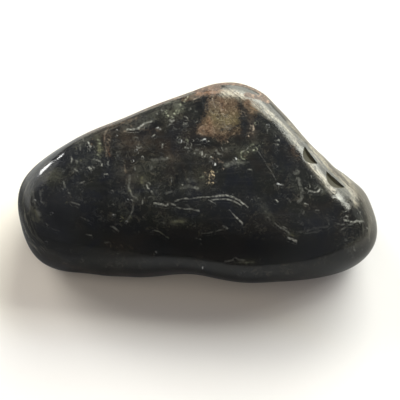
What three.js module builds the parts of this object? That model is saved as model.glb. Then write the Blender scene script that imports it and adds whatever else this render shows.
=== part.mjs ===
// Black tourmaline: one loose stone, tumbled round and polished, in millimetres with +Z up.
// Seen from above it is a low triangle. A long side runs up from the left nose to the apex at the
// back, a shorter side drops to the right nose, and the front is long, low and slightly waisted.
// The stone is a rounded-off stack of worn flat sides, with a few bulges and hollows laid on it,
// and it rests on a small flat at the bottom.
import * as THREE from 'three';
import { mergeVertices } from 'three/addons/utils/BufferGeometryUtils.js';

// Cells of the mesh along the stone's length, depth and height
const cells = { length: 42, depth: 26, height: 18 };

// Half sizes of the ellipsoid that spreads those cells evenly over the stone
const spread = new THREE.Vector3(29, 16, 10);

// How crisply the worn sides meet: a higher number gives tighter edges
const crispness = 9;

// Height of the slice that is worn off flat at the bottom, where the stone rests
const restingWear = 0.32;

// The worn sides of the stone. Azimuth runs from +X (right) towards +Y (back), and elevation up
// from level, both in degrees. Distance is from the middle of the stone to the side.
const wornSides = [
  { name: 'top face', azimuth: -90, elevation: 83, distance: 9.2 },
  { name: 'underside', azimuth: -90, elevation: -88, distance: 9.2 },
  { name: 'long back left side', azimuth: 113, elevation: 14, distance: 17 },
  { name: 'back left shoulder', azimuth: 127, elevation: 16, distance: 25.25 },
  { name: 'back left bevel', azimuth: 110, elevation: 65, distance: 20.75 },
  { name: 'apex', azimuth: 85, elevation: 20, distance: 23.75 },
  { name: 'back right side', azimuth: 41, elevation: 16, distance: 19.25 },
  { name: 'back right bevel', azimuth: 47, elevation: 65, distance: 19.75 },
  { name: 'low end of that bevel', azimuth: 23, elevation: 54, distance: 27.75 },
  { name: 'right nose', azimuth: 5, elevation: 5, distance: 35.25 },
  { name: 'right nose, upper', azimuth: -22, elevation: 28, distance: 33.25 },
  { name: 'right nose, top', azimuth: -5, elevation: 55, distance: 19.25 },
  { name: 'right nose, under', azimuth: 0, elevation: -32, distance: 26 },
  { name: 'front right corner', azimuth: -57, elevation: -3, distance: 28 },
  { name: 'front right side', azimuth: -68, elevation: -6, distance: 20 },
  { name: 'front right bevel', azimuth: -72, elevation: 37, distance: 17.25 },
  { name: 'front left side', azimuth: -98, elevation: 0, distance: 14 },
  { name: 'front left bevel', azimuth: -97, elevation: 40, distance: 11.5 },
  { name: 'front shoulder', azimuth: -95, elevation: 58, distance: 10.5 },
  { name: 'front left corner', azimuth: -146, elevation: 8, distance: 30.5 },
  { name: 'left nose', azimuth: 188, elevation: 4, distance: 37.75 },
  { name: 'left nose, upper', azimuth: 200, elevation: 28, distance: 33.25 },
  { name: 'left nose, top', azimuth: 185, elevation: 55, distance: 20.75 },
  { name: 'left nose, under', azimuth: 180, elevation: -32, distance: 28 },
  { name: 'belly, front', azimuth: -90, elevation: -34, distance: 13.25 },
  { name: 'belly, back', azimuth: 90, elevation: -36, distance: 15.5 },
];

// Soft hollows, pushed in towards the middle, and bulges, which are hollows of negative depth.
// Each fades out over its reach along x, y and z. Places are from the middle of the stone.
const hollows = [
  { name: 'waist of the front', at: [-3.5, -15, -5.5], reach: [6, 7, 5], depth: 1.6 },
  { name: 'dip in the right slope', at: [18, 8, 0], reach: [4, 6, 9], depth: 0.9 },
  { name: 'knob of the right nose', at: [25, 1, -1], reach: [5, 8, 9], depth: -1.1 },
  { name: 'old break under the back', at: [-13, 10, -6], reach: [7, 5, 4], depth: 0.9 },
  { name: 'dent behind the apex', at: [10, 17, -3], reach: [4, 4, 3], depth: 0.5 },
  { name: 'scoop under the right nose', at: [17, -6, -8], reach: [6, 5, 4], depth: 0.7 },
];

// The unit vector that faces an azimuth and an elevation given in degrees.
function facing(azimuth, elevation) {
  const around = THREE.MathUtils.degToRad(azimuth);
  const up = THREE.MathUtils.degToRad(elevation);
  return new THREE.Vector3(
    Math.cos(around) * Math.cos(up),
    Math.sin(around) * Math.cos(up),
    Math.sin(up),
  );
}

const sidePlanes = wornSides.map(({ azimuth, elevation, distance }) => ({
  normal: facing(azimuth, elevation),
  distance,
}));

// How far the surface lies from the middle in one direction: where the planes of the worn sides
// would cut it, rounded off where several of them are near.
function reachAlong(direction) {
  let sum = 0;
  for (const { normal, distance } of sidePlanes) {
    const nearness = Math.max(normal.dot(direction), 0) / distance;
    sum += nearness ** crispness;
  }
  return sum ** (-1 / crispness);
}

// How far all the hollows together push a point in.
function hollowAt(point) {
  let total = 0;
  for (const { at, reach, depth } of hollows) {
    const x = (point.x - at[0]) / reach[0];
    const y = (point.y - at[1]) / reach[1];
    const z = (point.z - at[2]) / reach[2];
    total += depth * Math.exp(-(x * x + y * y + z * z));
  }
  return total;
}

// A point of the cube from -1 to 1 carried to the unit sphere, with the cells kept even.
function cubeToSphere({ x, y, z }) {
  const xx = x * x;
  const yy = y * y;
  const zz = z * z;
  return new THREE.Vector3(
    x * Math.sqrt(1 - yy / 2 - zz / 2 + (yy * zz) / 3),
    y * Math.sqrt(1 - zz / 2 - xx / 2 + (zz * xx) / 3),
    z * Math.sqrt(1 - xx / 2 - yy / 2 + (xx * yy) / 3),
  );
}

// A cube of cells, its doubled edge points merged, each point moved out to the stone's surface.
function wornStone() {
  const cube = new THREE.BoxGeometry(2, 2, 2, cells.length, cells.depth, cells.height);
  cube.deleteAttribute('normal');
  cube.deleteAttribute('uv');
  const stone = mergeVertices(cube, 1e-5);
  const points = stone.getAttribute('position');
  const point = new THREE.Vector3();
  for (let i = 0; i < points.count; i += 1) {
    point.fromBufferAttribute(points, i);
    const direction = cubeToSphere(point).multiply(spread).normalize();
    point.copy(direction).multiplyScalar(reachAlong(direction));
    point.addScaledVector(direction, -hollowAt(point));
    points.setXYZ(i, point.x, point.y, point.z);
  }
  return stone;
}

// The lowest slice worn flat, so that the stone rests on a real face.
function wearRestingFace(stone) {
  stone.computeBoundingBox();
  const floor = stone.boundingBox.min.z + restingWear;
  const points = stone.getAttribute('position');
  for (let i = 0; i < points.count; i += 1) {
    points.setZ(i, Math.max(points.getZ(i), floor));
  }
}

// The origin goes to the middle of the box around the stone, at its bottom.
function setOrigin(stone) {
  stone.computeBoundingBox();
  const { min, max } = stone.boundingBox;
  stone.translate(-(min.x + max.x) / 2, -(min.y + max.y) / 2, -min.z);
}

const geometry = wornStone();
wearRestingFace(geometry);
setOrigin(geometry);
geometry.computeVertexNormals();

const polishedSchorl = new THREE.MeshStandardMaterial({
  color: 0x1b1c1a,
  roughness: 0.16,
  metalness: 0,
});

const stone = new THREE.Mesh(geometry, polishedSchorl);
stone.name = 'tourmaline_stone';

const group = new THREE.Group();
group.add(stone);

export default group;
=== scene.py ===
import bmesh
import bpy
import math
import numpy as np
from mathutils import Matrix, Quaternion, Vector, noise


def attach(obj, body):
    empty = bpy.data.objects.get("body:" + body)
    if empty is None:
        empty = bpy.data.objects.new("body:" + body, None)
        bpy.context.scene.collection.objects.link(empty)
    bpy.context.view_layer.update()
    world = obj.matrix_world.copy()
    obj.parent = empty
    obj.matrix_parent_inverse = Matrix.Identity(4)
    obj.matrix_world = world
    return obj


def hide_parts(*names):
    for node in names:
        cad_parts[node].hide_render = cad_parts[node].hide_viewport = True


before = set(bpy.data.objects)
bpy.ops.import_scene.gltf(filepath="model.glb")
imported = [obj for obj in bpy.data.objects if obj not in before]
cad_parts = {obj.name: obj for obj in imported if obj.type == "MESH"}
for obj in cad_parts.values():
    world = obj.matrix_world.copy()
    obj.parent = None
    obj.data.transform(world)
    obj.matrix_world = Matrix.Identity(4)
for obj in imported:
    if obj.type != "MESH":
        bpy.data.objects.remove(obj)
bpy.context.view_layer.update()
mm = 0.001
stoneNode = "tourmaline_stone"
finish = "polished_schorl"
scene = bpy.context.scene

# Some of the marks are painted light: highlights of the window on the apex and the ridge, glints of mica,
# and shade along the flakes' lips and the lower front.
# The stone is one piece. Its solid comes from the frame, is rounded off here, gets its small relief and is
# painted with two kinds of marks, soft tints and fine threads, which are kept on the mesh as attributes.
# Marks on the side that the camera sees are laid out on the camera's own square sheet, in pixels from its
# upper left corner. Those of the hidden sides are drawn at random, from a fixed seed.


# the camera

shot = {
    "aim": (0.44, -2.28, 9.15),      # mm, a point inside the stone
    "distance": 300.0,               # mm
    "elevation": 60.0,               # degrees above the floor
    "sensor": 36.0,                  # mm
    "pixels": 400,                   # side of the square sheet
    "pixelSize": 0.16156,            # mm at the aim for each pixel
    "clip": (0.01, 20),              # m
    "facing": (0.0, 0.22),           # painted marks come in over this much of a turn to the camera
    "unseen": 0.5,                   # a point whose marks have come in less than this is hidden
}
lean = math.radians(shot["elevation"])
shotRight = np.array((1.0, 0.0, 0.0))
shotUp = np.array((0.0, math.sin(lean), math.cos(lean)))
shotBack = np.array((0.0, -math.cos(lean), math.sin(lean)))
shotPlace = np.array(shot["aim"]) + shotBack * shot["distance"]


def makeCamera():
    data = bpy.data.cameras.new("camera")
    data.sensor_width = shot["sensor"]
    data.lens = shot["sensor"] * shot["distance"] / (shot["pixels"] * shot["pixelSize"])
    data.clip_start, data.clip_end = shot["clip"]
    camera = bpy.data.objects.new("camera", data)
    camera.location = Vector(shotPlace * mm)
    camera.rotation_euler = (math.pi / 2 - lean, 0, 0)
    scene.collection.objects.link(camera)
    scene.camera = camera


makeCamera()
print("camera placed")


# small helpers for the painting

noiseSteps = (17.3, 5.9, 11.1)       # how far a seed moves the noise along each axis
tiny = 1e-6                          # kept above zero, to divide by


def readVectors(items, name):
    values = np.empty(len(items) * 3)
    items.foreach_get(name, values)
    return values.reshape(-1, 3)


def keepMark(piece, name, values):
    kind, field = ("FLOAT", "value") if values.ndim == 1 else ("FLOAT_VECTOR", "vector")
    piece.data.attributes.new(name, kind, "POINT").data.foreach_set(field, values.ravel())


def fade(low, high, values):
    t = np.clip((values - low) / (high - low), 0, 1)
    return t * t * (3 - 2 * t)


def noiseAt(points, wavelength, seed):
    shift = Vector([seed * step for step in noiseSteps])
    return np.array([noise.noise(Vector(p) / wavelength + shift) for p in points])


# Where each point lies on the sheet, and how far its marks come in, from 0 away from the camera to 1.
def cameraSheet(points, normals):
    away = points - shotPlace
    perPixel = -(away @ shotBack) / shot["distance"] * shot["pixelSize"]
    middle = shot["pixels"] / 2
    across = middle + away @ shotRight / perPixel
    down = middle - away @ shotUp / perPixel
    toCamera = -away / np.linalg.norm(away, axis=1)[:, None]
    facing = np.sum(normals * toCamera, axis=1)
    return {"place": np.column_stack((across, down)), "facing": fade(*shot["facing"], facing)}


def readPiece(piece):
    points = readVectors(piece.data.vertices, "co") / mm
    normals = readVectors(piece.data.vertices, "normal")
    return points, normals, cameraSheet(points, normals)


def unseenPoints(sheet):
    return np.nonzero(sheet["facing"] < shot["unseen"])[0]


def roundSpot(sheet, at, reach):
    gap = np.linalg.norm(sheet["place"] - np.array(at), axis=1) / reach
    return np.exp(-gap ** 2)


# A curve through all the points, in short straight steps.
def smoothPath(points, steps=6):
    p = np.array([points[0]] + list(points) + [points[-1]], float)
    path = []
    for i in range(1, len(p) - 2):
        a, b, c, d = p[i - 1:i + 3]
        for t in np.linspace(0, 1, steps, endpoint=False):
            straight = 2 * b + (c - a) * t
            bend = (2 * a - 5 * b + 4 * c - d) * t ** 2 + (3 * b - a - 3 * c + d) * t ** 3
            path.append((straight + bend) / 2)
    return np.array(path + [p[-2]])


# The points near a path: how far each lies from it, on which side, how far along, and how far past an end.
def nearPath(place, points, margin):
    path = smoothPath(points)
    low, high = path.min(0) - margin, path.max(0) + margin
    near = np.nonzero(np.all((place > low) & (place < high), axis=1))[0]
    spot = place[near]
    lengths = np.linalg.norm(np.diff(path, axis=0), axis=1)
    starts = np.concatenate(([0], np.cumsum(lengths)))
    found = {"gap": np.full(len(near), np.inf)}
    for name in ("side", "along", "beyond"):
        found[name] = np.zeros(len(near))
    for i, (a, b) in enumerate(zip(path[:-1], path[1:])):
        step = (b - a) / lengths[i]
        run = (spot - a) @ step
        held = np.clip(run, 0, lengths[i])
        gap = np.linalg.norm(spot - a - held[:, None] * step, axis=1)
        cross = (spot - a)[:, 0] * step[1] - (spot - a)[:, 1] * step[0]
        beyond = np.zeros(len(near))
        if i == 0:
            beyond = np.maximum(beyond, -run)
        if i == len(lengths) - 1:
            beyond = np.maximum(beyond, run - lengths[i])
        side = np.where(beyond > 0, cross, np.sign(cross) * gap)
        closer = gap < found["gap"]
        values = {"gap": gap, "side": side, "along": (starts[i] + held) / starts[-1], "beyond": beyond}
        for name, value in values.items():
            found[name] = np.where(closer, value, found[name])
    return near, found


# the stone's mesh

stoneForm = {
    "mergeDistance": 0.001,          # mm
    "quadAngle": 60.0,               # degrees, two triangles flatter than this join as one face
    "levels": 2,
    "restingBlend": (0.02, 0.9),     # mm above the floor, over which the relief comes in
    "waves": [(0.050, 11.0), (0.018, 4.5), (0.004, 1.6)],   # mm deep, mm long
    "chips": [                       # two leaf-shaped flakes lost from the worn ridge
        {"from": (304.8, 146.6), "to": (317.4, 163.6), "inner": 8.6, "outer": 0.1, "depth": 0.46},
        {"from": (326.6, 171.0), "to": (344.6, 187.6), "inner": 8.4, "outer": 0.3, "depth": 0.46},
    ],
    "chipDeepest": 0.80,             # share of a flake's width, from its inner edge
    "chipEdge": 0.10,                # share of its width, over which its colour comes in
    "fineCuts": 3,                   # extra cuts of each mesh edge about the flakes
    "fineMargin": 2.4,               # pixels
    "swells": [                      # place on the sheet, reach in pixels, mm proud of the solid
        ((214, 85), 20, 0.30),
        ((240, 85), 16, 0.14),
        ((264, 95), 13, 0.26),
        ((122, 118), 26, -0.20),
        ((363, 192), 14, 0.32),
        ((335, 166), 9, -0.20),
        ((18, 208), 20, 0.16),
        ((88, 274), 20, -0.30),
        ((124, 277), 16, -0.16),
        ((248, 282), 20, 0.16),
    ],
    "pits": [                        # place on the sheet, reach in pixels, mm deep
        ((156, 252.3), 2.2, 0.06),
        ((231, 140), 2.5, 0.03),
    ],
}


# The solid's triangles are joined in pairs, so that the rounding flows evenly over them.
def quadStone():
    bm = bmesh.new()
    bm.from_mesh(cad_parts[stoneNode].data)
    bmesh.ops.remove_doubles(bm, verts=bm.verts, dist=stoneForm["mergeDistance"] * mm)
    bmesh.ops.join_triangles(
        bm, faces=bm.faces,
        angle_face_threshold=math.radians(stoneForm["quadAngle"]),
        angle_shape_threshold=math.pi,
    )
    mesh = bpy.data.meshes.new("polished_stone")
    bm.to_mesh(mesh)
    bm.free()
    piece = bpy.data.objects.new("polished_stone", mesh)
    scene.collection.objects.link(piece)
    return piece


def roundOff(piece):
    rounding = piece.modifiers.new("rounding", "SUBSURF")
    rounding.levels = stoneForm["levels"]
    rounding.render_levels = stoneForm["levels"]
    bpy.context.view_layer.objects.active = piece
    bpy.ops.object.modifier_apply(modifier=rounding.name)
    piece.data.shade_smooth()


# How far across a flake a point lies, from 0 at its inner edge to 1, and how wide the flake is there.
def acrossChip(sheet, chip):
    start, end = np.array(chip["from"]), np.array(chip["to"])
    length = np.linalg.norm(end - start)
    step = (end - start) / length
    off = sheet["place"] - start
    run = np.clip(off @ step / length, 0, 1)
    bow = 4 * run * (1 - run)
    side = (off[:, 0] * step[1] - off[:, 1] * step[0]) / np.maximum(bow, tiny)   # plus is outwards
    return (side + chip["inner"]) / (chip["inner"] + chip["outer"]), bow


def chipDepth(sheet, chip):
    share, bow = acrossChip(sheet, chip)
    share = np.clip(share, 0, 1)
    deepest = stoneForm["chipDeepest"]
    scoop = np.where(share < deepest, share / deepest, (1 - share) / (1 - deepest))
    return chip["depth"] * scoop * bow ** 0.5 * sheet["facing"]


# The mesh gets finer about the flakes, whose edges are sharp.
def refine(piece):
    sheet = readPiece(piece)[-1]
    wanted = np.zeros(len(piece.data.vertices), bool)
    for chip in stoneForm["chips"]:
        reach = chip["inner"] + stoneForm["fineMargin"]
        near, found = nearPath(sheet["place"], [chip["from"], chip["to"]], reach)
        close = (found["gap"] < reach) & (sheet["facing"][near] > 0)
        wanted[near[close]] = True
    bm = bmesh.new()
    bm.from_mesh(piece.data)
    bm.verts.ensure_lookup_table()
    inside = [e for e in bm.edges if wanted[e.verts[0].index] and wanted[e.verts[1].index]]
    bmesh.ops.subdivide_edges(
        bm, edges=inside, cuts=stoneForm["fineCuts"], use_grid_fill=True,
        smooth=1.0, smooth_falloff="LINEAR",
    )
    bm.to_mesh(piece.data)
    bm.free()
    piece.data.shade_smooth()


# All of the small relief moves the surface along its normals, and none of it the resting flat.
def carve(piece):
    points, normals, sheet = readPiece(piece)
    move = np.zeros(len(points))
    for seed, (depth, wavelength) in enumerate(stoneForm["waves"]):
        move += depth * noiseAt(points, wavelength, seed + 1)
    for chip in stoneForm["chips"]:
        move -= chipDepth(sheet, chip)
    for at, reach, height in stoneForm["swells"]:
        move += height * roundSpot(sheet, at, reach)
    for at, reach, depth in stoneForm["pits"]:
        move -= depth * roundSpot(sheet, at, reach) * sheet["facing"]
    move *= fade(*stoneForm["restingBlend"], points[:, 2])
    points += normals * move[:, None]
    piece.data.vertices.foreach_set("co", (points * mm).ravel())
    piece.data.update()


stone = quadStone()
roundOff(stone)
refine(stone)
carve(stone)
points, normals, sheet = readPiece(stone)
print("stone carved,", len(points), "points")


# soft tints, each a path on the sheet with its reach and weight

tints = {
    "rust": [                        # the weathered patch, and its traces elsewhere
        (8, 0.95, [(214, 103), (232, 103)]),
        (10, 0.95, [(214, 112), (232, 112)]),
        (9, 0.95, [(208, 123), (222, 122), (232, 121)]),
        (7, 0.95, [(203, 130), (215, 132)]),
        (5, 0.80, [(222, 134), (238, 130)]),
        (4, 0.60, [(218, 138), (226, 139)]),
        (3.0, 0.90, [(184, 99), (190, 97.6), (200, 94), (216, 92)]),
        (3.5, 0.75, [(214, 91), (226, 91.5), (238, 94)]),
        (2.0, 0.60, [(175, 99), (181, 97)]),
        (7, 0.85, [(246, 101), (254, 109)]),
        (3, 0.80, [(247, 94.5), (253, 96), (259, 96.5)]),
        (3.5, 0.45, [(110, 128), (124, 122), (138, 118)]),
        (4.5, 0.36, [(108, 134), (109, 146), (110, 156)]),
        (4, 0.35, [(140, 128), (158, 130)]),
        (3, 0.30, [(124, 166), (126, 172)]),
        (5.5, 0.36, [(293, 146), (297, 156)]),
        (3, 0.30, [(91, 139), (92, 144)]),
        (5, 0.22, [(108, 244), (132, 248)]),
    ],
    "blush": [                       # its palest, pinkest part
        (2.8, 1.00, [(199, 94.5), (210, 92.5), (224, 91.5)]),
        (3.5, 0.55, [(228, 94), (240, 94)]),
        (4.5, 0.50, [(248, 102), (255, 110)]),
        (3.0, 0.55, [(209, 119), (210, 127)]),
        (5.0, 0.40, [(201, 129), (208, 132)]),
        (2.5, 0.40, [(221, 96), (223, 110)]),
        (3.0, 0.40, [(122, 131.6), (127, 131)]),
        (3.0, 0.40, [(296, 145), (302, 141)]),
    ],
    "ochre": [                       # its olive middle
        (8, 0.80, [(214, 117), (226, 121), (238, 120)]),
        (3.5, 0.50, [(252, 108), (256, 113)]),
    ],
    "umber": [                       # its dark lower corner and the breaks round it
        (6, 0.80, [(230, 131), (240, 130)]),
        (3.5, 0.70, [(212, 138), (226, 139)]),
        (2.5, 0.90, [(241, 104), (244, 112), (249, 122)]),
        (2.2, 0.90, [(247, 95), (253, 95.6), (259, 96.8)]),
        (2.0, 0.60, [(190, 93.5), (206, 88.6), (222, 86.6)]),
        (2.0, 0.80, [(176, 100.4), (182, 97.4), (190, 94.4)]),
        (7, 0.70, [(108, 134), (112, 150)]),
    ],
    "brown": [                       # a warm cast under the polish
        (14, 0.80, [(112, 134), (128, 140), (150, 140), (172, 150)]),
        (12, 0.35, [(122, 160), (130, 178)]),
        (13, 0.40, [(176, 126), (196, 140)]),
        (14, 0.25, [(184, 168), (200, 178)]),
        (10, 0.35, [(204, 148), (226, 152)]),
        (9, 0.40, [(292, 148), (297, 160)]),
        (12, 0.35, [(112, 244), (136, 248)]),
        (5, 0.50, [(234, 128), (243, 136)]),
        (6, 0.85, [(246, 108), (252, 122), (252, 136)]),
    ],
    "smoke": [                       # soft pale veils
        (9, 0.42, [(110, 131), (136, 123), (160, 117)]),
        (7, 0.30, [(120, 146), (146, 140)]),
        (7, 0.34, [(194, 104), (198, 116)]),
        (4.5, 0.50, [(247, 110), (252, 124), (254, 134)]),
        (5.0, 0.95, [(176, 104), (180, 108)]),
        (5.0, 0.90, [(168, 112), (175, 114)]),
        (4.0, 0.50, [(158, 112), (163, 109)]),
        (2.0, 0.80, [(166, 102.4), (179, 101.4)]),
        (4.0, 0.50, [(128, 124), (146, 119), (154, 116)]),
        (6.0, 0.35, [(120, 170), (132, 178)]),
        (5.0, 0.40, [(134, 172), (148, 166), (162, 160), (176, 158)]),
        (4.0, 0.50, [(129, 178), (130, 190), (137, 198)]),
        (5.0, 0.35, [(144, 180), (150, 190), (156, 197)]),
        (4.0, 0.35, [(180, 188), (198, 187)]),
        (5.0, 0.35, [(188, 179), (202, 178)]),
        (4.5, 0.45, [(194, 150), (208, 153), (222, 151), (236, 149)]),
        (5.0, 0.50, [(240, 155), (250, 148), (255, 144)]),
        (3.0, 0.60, [(225, 165), (232, 163.4), (242, 163)]),
        (4.0, 0.30, [(250, 120), (254, 128), (252, 136)]),
        (6.0, 0.45, [(50, 176), (56, 174)]),
        (5.0, 0.35, [(30, 190), (33, 206), (38, 218)]),
        (7.0, 0.30, [(78, 164), (94, 158)]),
        (5.0, 0.35, [(80, 144), (88, 138)]),
        (4.0, 0.30, [(160, 222), (184, 221)]),
        (5.0, 0.25, [(112, 200), (128, 212)]),
        (4.0, 0.35, [(256, 200), (262, 203), (268, 214), (274, 222)]),
        (5.0, 0.25, [(284, 170), (300, 176)]),
        (4.0, 0.25, [(291, 180), (297, 190)]),
        (5.0, 0.25, [(262, 120), (272, 130)]),
        (4.0, 0.35, [(317, 187), (324, 192)]),
        (4.0, 0.40, [(358, 214), (363, 220)]),
        (7.0, 0.30, [(352, 246), (362, 240)]),
        (5.0, 0.45, [(364, 202), (370, 220), (370, 240)]),
        (4.0, 0.30, [(284, 228), (294, 235)]),
        (4.0, 0.40, [(96, 136), (99, 150)]),
        (4.0, 0.30, [(114, 130), (117, 136)]),
    ],
    "fleck": [
        (4.0, 0.35, [(177, 138), (184, 141), (192, 146)]),
        (4.0, 0.30, [(186, 150), (198, 153), (212, 157)]),
        (4.0, 0.35, [(212, 156), (218, 163), (224, 166)]),
        (3.5, 0.45, [(212, 168), (211, 176), (210, 184)]),
        (5.0, 0.30, [(238, 155), (248, 149)]),
        (5.0, 0.22, [(128, 178), (131, 192)]),
        (4.0, 0.22, [(142, 184), (150, 188), (148, 198)]),
        (6.0, 0.20, [(128, 148), (146, 150), (160, 144)]),
        (7.0, 0.22, [(112, 206), (128, 216)]),
        (5.0, 0.20, [(160, 221), (176, 220)]),
        (5.0, 0.20, [(196, 231), (226, 229)]),
        (5.0, 0.25, [(150, 124), (160, 128)]),
        (5.0, 0.35, [(168, 112), (178, 108)]),
        (5.0, 0.25, [(226, 150), (236, 156)]),
        (8.0, 0.22, [(76, 164), (96, 168)]),
        (6.0, 0.20, [(70, 200), (88, 204)]),
        (6.0, 0.20, [(262, 226), (284, 234)]),
        (6.0, 0.30, [(344, 214), (362, 222)]),
        (6.0, 0.25, [(298, 206), (318, 212)]),
        (5.0, 0.25, [(268, 128), (282, 144)]),
        (7.0, 0.45, [(350, 254), (364, 244)]),
        (5.0, 0.40, [(362, 198), (369, 216), (370, 236)]),
        (3.0, 0.30, [(236, 259), (252, 262)]),
        (4.0, 0.30, [(308, 186), (320, 188)]),
        (3.0, 0.60, [(186, 99), (192, 95)]),
        (4.0, 0.35, [(28, 186), (30, 204), (36, 220)]),
    ],
    "olive": [
        (3, 0.55, [(97, 137), (100, 152)]),
        (3, 0.50, [(289, 234), (296, 236)]),
        (6, 0.55, [(48, 177), (54, 175)]),
        (3, 0.40, [(240, 261), (254, 262)]),
        (4, 0.40, [(34, 210), (39, 220)]),
        (4, 0.35, [(171, 113), (176, 110)]),
        (5, 0.30, [(240, 155), (252, 147)]),
        (5, 0.35, [(138, 178), (146, 178)]),
        (6, 0.25, [(200, 172), (206, 184)]),
        (4, 0.30, [(172, 222), (184, 221)]),
        (4, 0.30, [(122, 216), (128, 220)]),
        (3, 0.35, [(336, 183), (344, 192), (354, 204)]),
    ],
    # darker than the body: dark spots in the stone, and painted shade along the lower front, where the
    # polish mirrors the dark room in front
    "night": [
        (8, 0.70, [(50, 208), (64, 222)]),
        (6, 0.55, [(196, 102), (200, 108), (198, 117)]),
        (6, 0.80, [(351, 208), (356, 213)]),
        (4, 0.60, [(112, 130), (118, 128)]),
        (3, 0.60, [(140, 133), (150, 129), (160, 122)]),
        (12, 0.45, [(160, 238), (230, 242), (300, 246)]),
        (6, 0.40, [(104, 184), (108, 200)]),
        (3, 0.60, [(193, 143), (206, 145), (218, 145)]),
        (6, 0.40, [(182, 170), (176, 184)]),
    ],
    "worn": [                        # beige, where the polish is worn off the ridge, and painted highlights where it mirrors the window on the apex and the ridge
        (3.8, 1.0, [(224, 93.5), (235, 94), (243, 96.5)]),
        (3.2, 0.80, [(255, 103.5), (263, 109), (272, 116)]),
        (2.4, 0.55, [(276, 119), (286, 128), (298, 146)]),
        (2.6, 0.95, [(309, 163), (318, 173), (327, 184), (334, 192)]),
        (4.4, 0.58, [(312, 148), (328, 164), (344, 178), (352, 192), (355, 203)]),
        (3.0, 0.35, [(288, 124), (302, 140)]),
    ],
    "matt": [
        (13, 0.9, [(212, 108), (226, 124)]),
        (4, 0.7, [(190, 97), (216, 92), (236, 92)]),
        (4, 0.55, [(255, 105), (275, 120), (294, 142)]),
    ],
    "ridge": [                       # the worn ridge on the right, finely scored along its length
        (7, 1.0, [(250, 100), (285, 128), (308, 150), (330, 176), (350, 196), (364, 216), (368, 240)]),
        (8, 0.9, [(356, 196), (366, 214), (371, 232)]),
        (8, 0.2, [(356, 254), (330, 268)]),
    ],
    "rim": [                         # the finely lined edge on the left and along the top
        (6, 0.9, [(196, 92), (176, 97), (146, 108.6), (110, 123.5), (86, 133.5), (72, 141)]),
        (2.8, 0.8, [(72, 140), (64, 145), (48, 156), (38, 164)]),
        (5, 1.0, [(38, 164), (27, 177)]),
        (9, 1.0, [(27, 177), (22, 190), (20, 204), (22, 219), (28, 235), (38, 249)]),
    ],
    "dull": [                        # brown, with the polish gone
        (2.2, 0.85, [(186, 92.5), (200, 87), (214, 84), (230, 83.2), (244, 84.8), (256, 89.5), (266, 97)]),
        (3.0, 0.80, [(196, 91), (208, 88.2), (219, 87.6)]),
        (2.4, 0.95, [(246, 94.2), (253, 96.4), (261, 98), (268, 102)]),
        (1.8, 0.50, [(150, 107.5), (170, 99.6), (186, 93)]),
        (1.6, 0.40, [(80, 137), (110, 124), (150, 107.5)]),
    ],
    "gold": [                        # a few yellow mica specks, painted bright as glints
        (4, 1.0, [(213, 164), (212, 172), (210, 186)]),
    ],
    "calm": [                        # where the stone stays plain black
        (20, 0.22, [(170, 165), (205, 176), (236, 165)]),
        (18, 0.28, [(190, 190), (222, 206), (262, 198), (296, 184)]),
        (12, 0.45, [(268, 176), (276, 196)]),
        (10, 0.45, [(190, 186), (206, 186)]),
        (16, 0.9, [(40, 232), (100, 240), (180, 248), (260, 252), (320, 248)]),
        (10, 0.8, [(60, 206), (84, 216)]),
        (10, 0.9, [(228, 178), (244, 184), (262, 186)]),
        (9, 0.8, [(250, 160), (262, 174)]),
        (8, 0.6, [(300, 214), (330, 224)]),
        (9, 0.6, [(100, 184), (104, 200)]),
        (8, 0.7, [(316, 202), (330, 208)]),
        (10, 0.6, [(280, 156), (290, 168)]),
        (8, 0.6, [(270, 188), (282, 210)]),
        (8, 0.5, [(200, 212), (226, 218)]),
        (6, 0.6, [(144, 206), (150, 214)]),
    ],
}

# Fine lines lie along a path: how far from it, how far apart (both in pixels) and how often they change.
lies = {
    "ridgeLie": {"path": tints["ridge"][0][2], "reach": 30, "apart": 3.0, "turns": 6.0},
    "rimLie": {
        "path": [(196, 93), (176, 99), (146, 111), (110, 126), (86, 136), (64, 149), (48, 161), (36, 173),
                 (28, 187), (24, 202), (25, 218), (31, 234), (42, 248)],
        "reach": 40, "apart": 2.2, "turns": 9.0,
    },
}
tintMargin = 2.5                     # reaches, past which a tint is nothing
hidden = {                           # marks of the sides that stay unseen, drawn at random
    "seed": 11,
    "tints": {                       # how many, least and most reach in mm, weight
        "smoke": (16, 1.0, 2.6, 0.7), "fleck": (18, 0.5, 1.4, 0.9), "night": (10, 1.2, 3.0, 0.8),
        "olive": (5, 0.5, 1.2, 0.7), "brown": (7, 1.5, 3.0, 0.8), "rust": (3, 1.0, 1.8, 0.9),
        "umber": (4, 0.8, 1.6, 0.8), "calm": (8, 2.0, 4.0, 0.9),
    },
    "noTints": (0, 1, 1, 0),
    "threads": 150,
    "tones": ["silver", "silver", "green", "olive", "tan", "rust", "black", "black", "black"],
    "length": (0.8, 3.6),            # mm
    "bend": 0.30,                    # how far a thread may bow, to its length squared
    "width": (0.14, 0.30),           # mm
    "strength": (0.15, 0.55),
    "taper": 0.5,                    # share of half the length, from where a thread tapers
    "edge": (0.2, 0.5),              # mm past its width
    "margin": 1.0,                   # mm past its end
}


def paintTints(piece, points, sheet):
    draw = np.random.default_rng(hidden["seed"])
    unseen = unseenPoints(sheet)
    for name, dabs in tints.items():
        values = np.zeros(len(points))
        for reach, weight, path in dabs:
            near, found = nearPath(sheet["place"], path, tintMargin * reach)
            soft = weight * np.exp(-(found["gap"] / reach) ** 2) * sheet["facing"][near]
            values[near] = np.maximum(values[near], soft)
        count, least, most, weight = hidden["tints"].get(name, hidden["noTints"])
        for at in draw.choice(unseen, count):
            gap = np.linalg.norm(points - points[at], axis=1) / draw.uniform(least, most)
            values = np.maximum(values, weight * np.exp(-gap ** 2) * (1 - sheet["facing"]))
        keepMark(piece, name, values)


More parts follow.
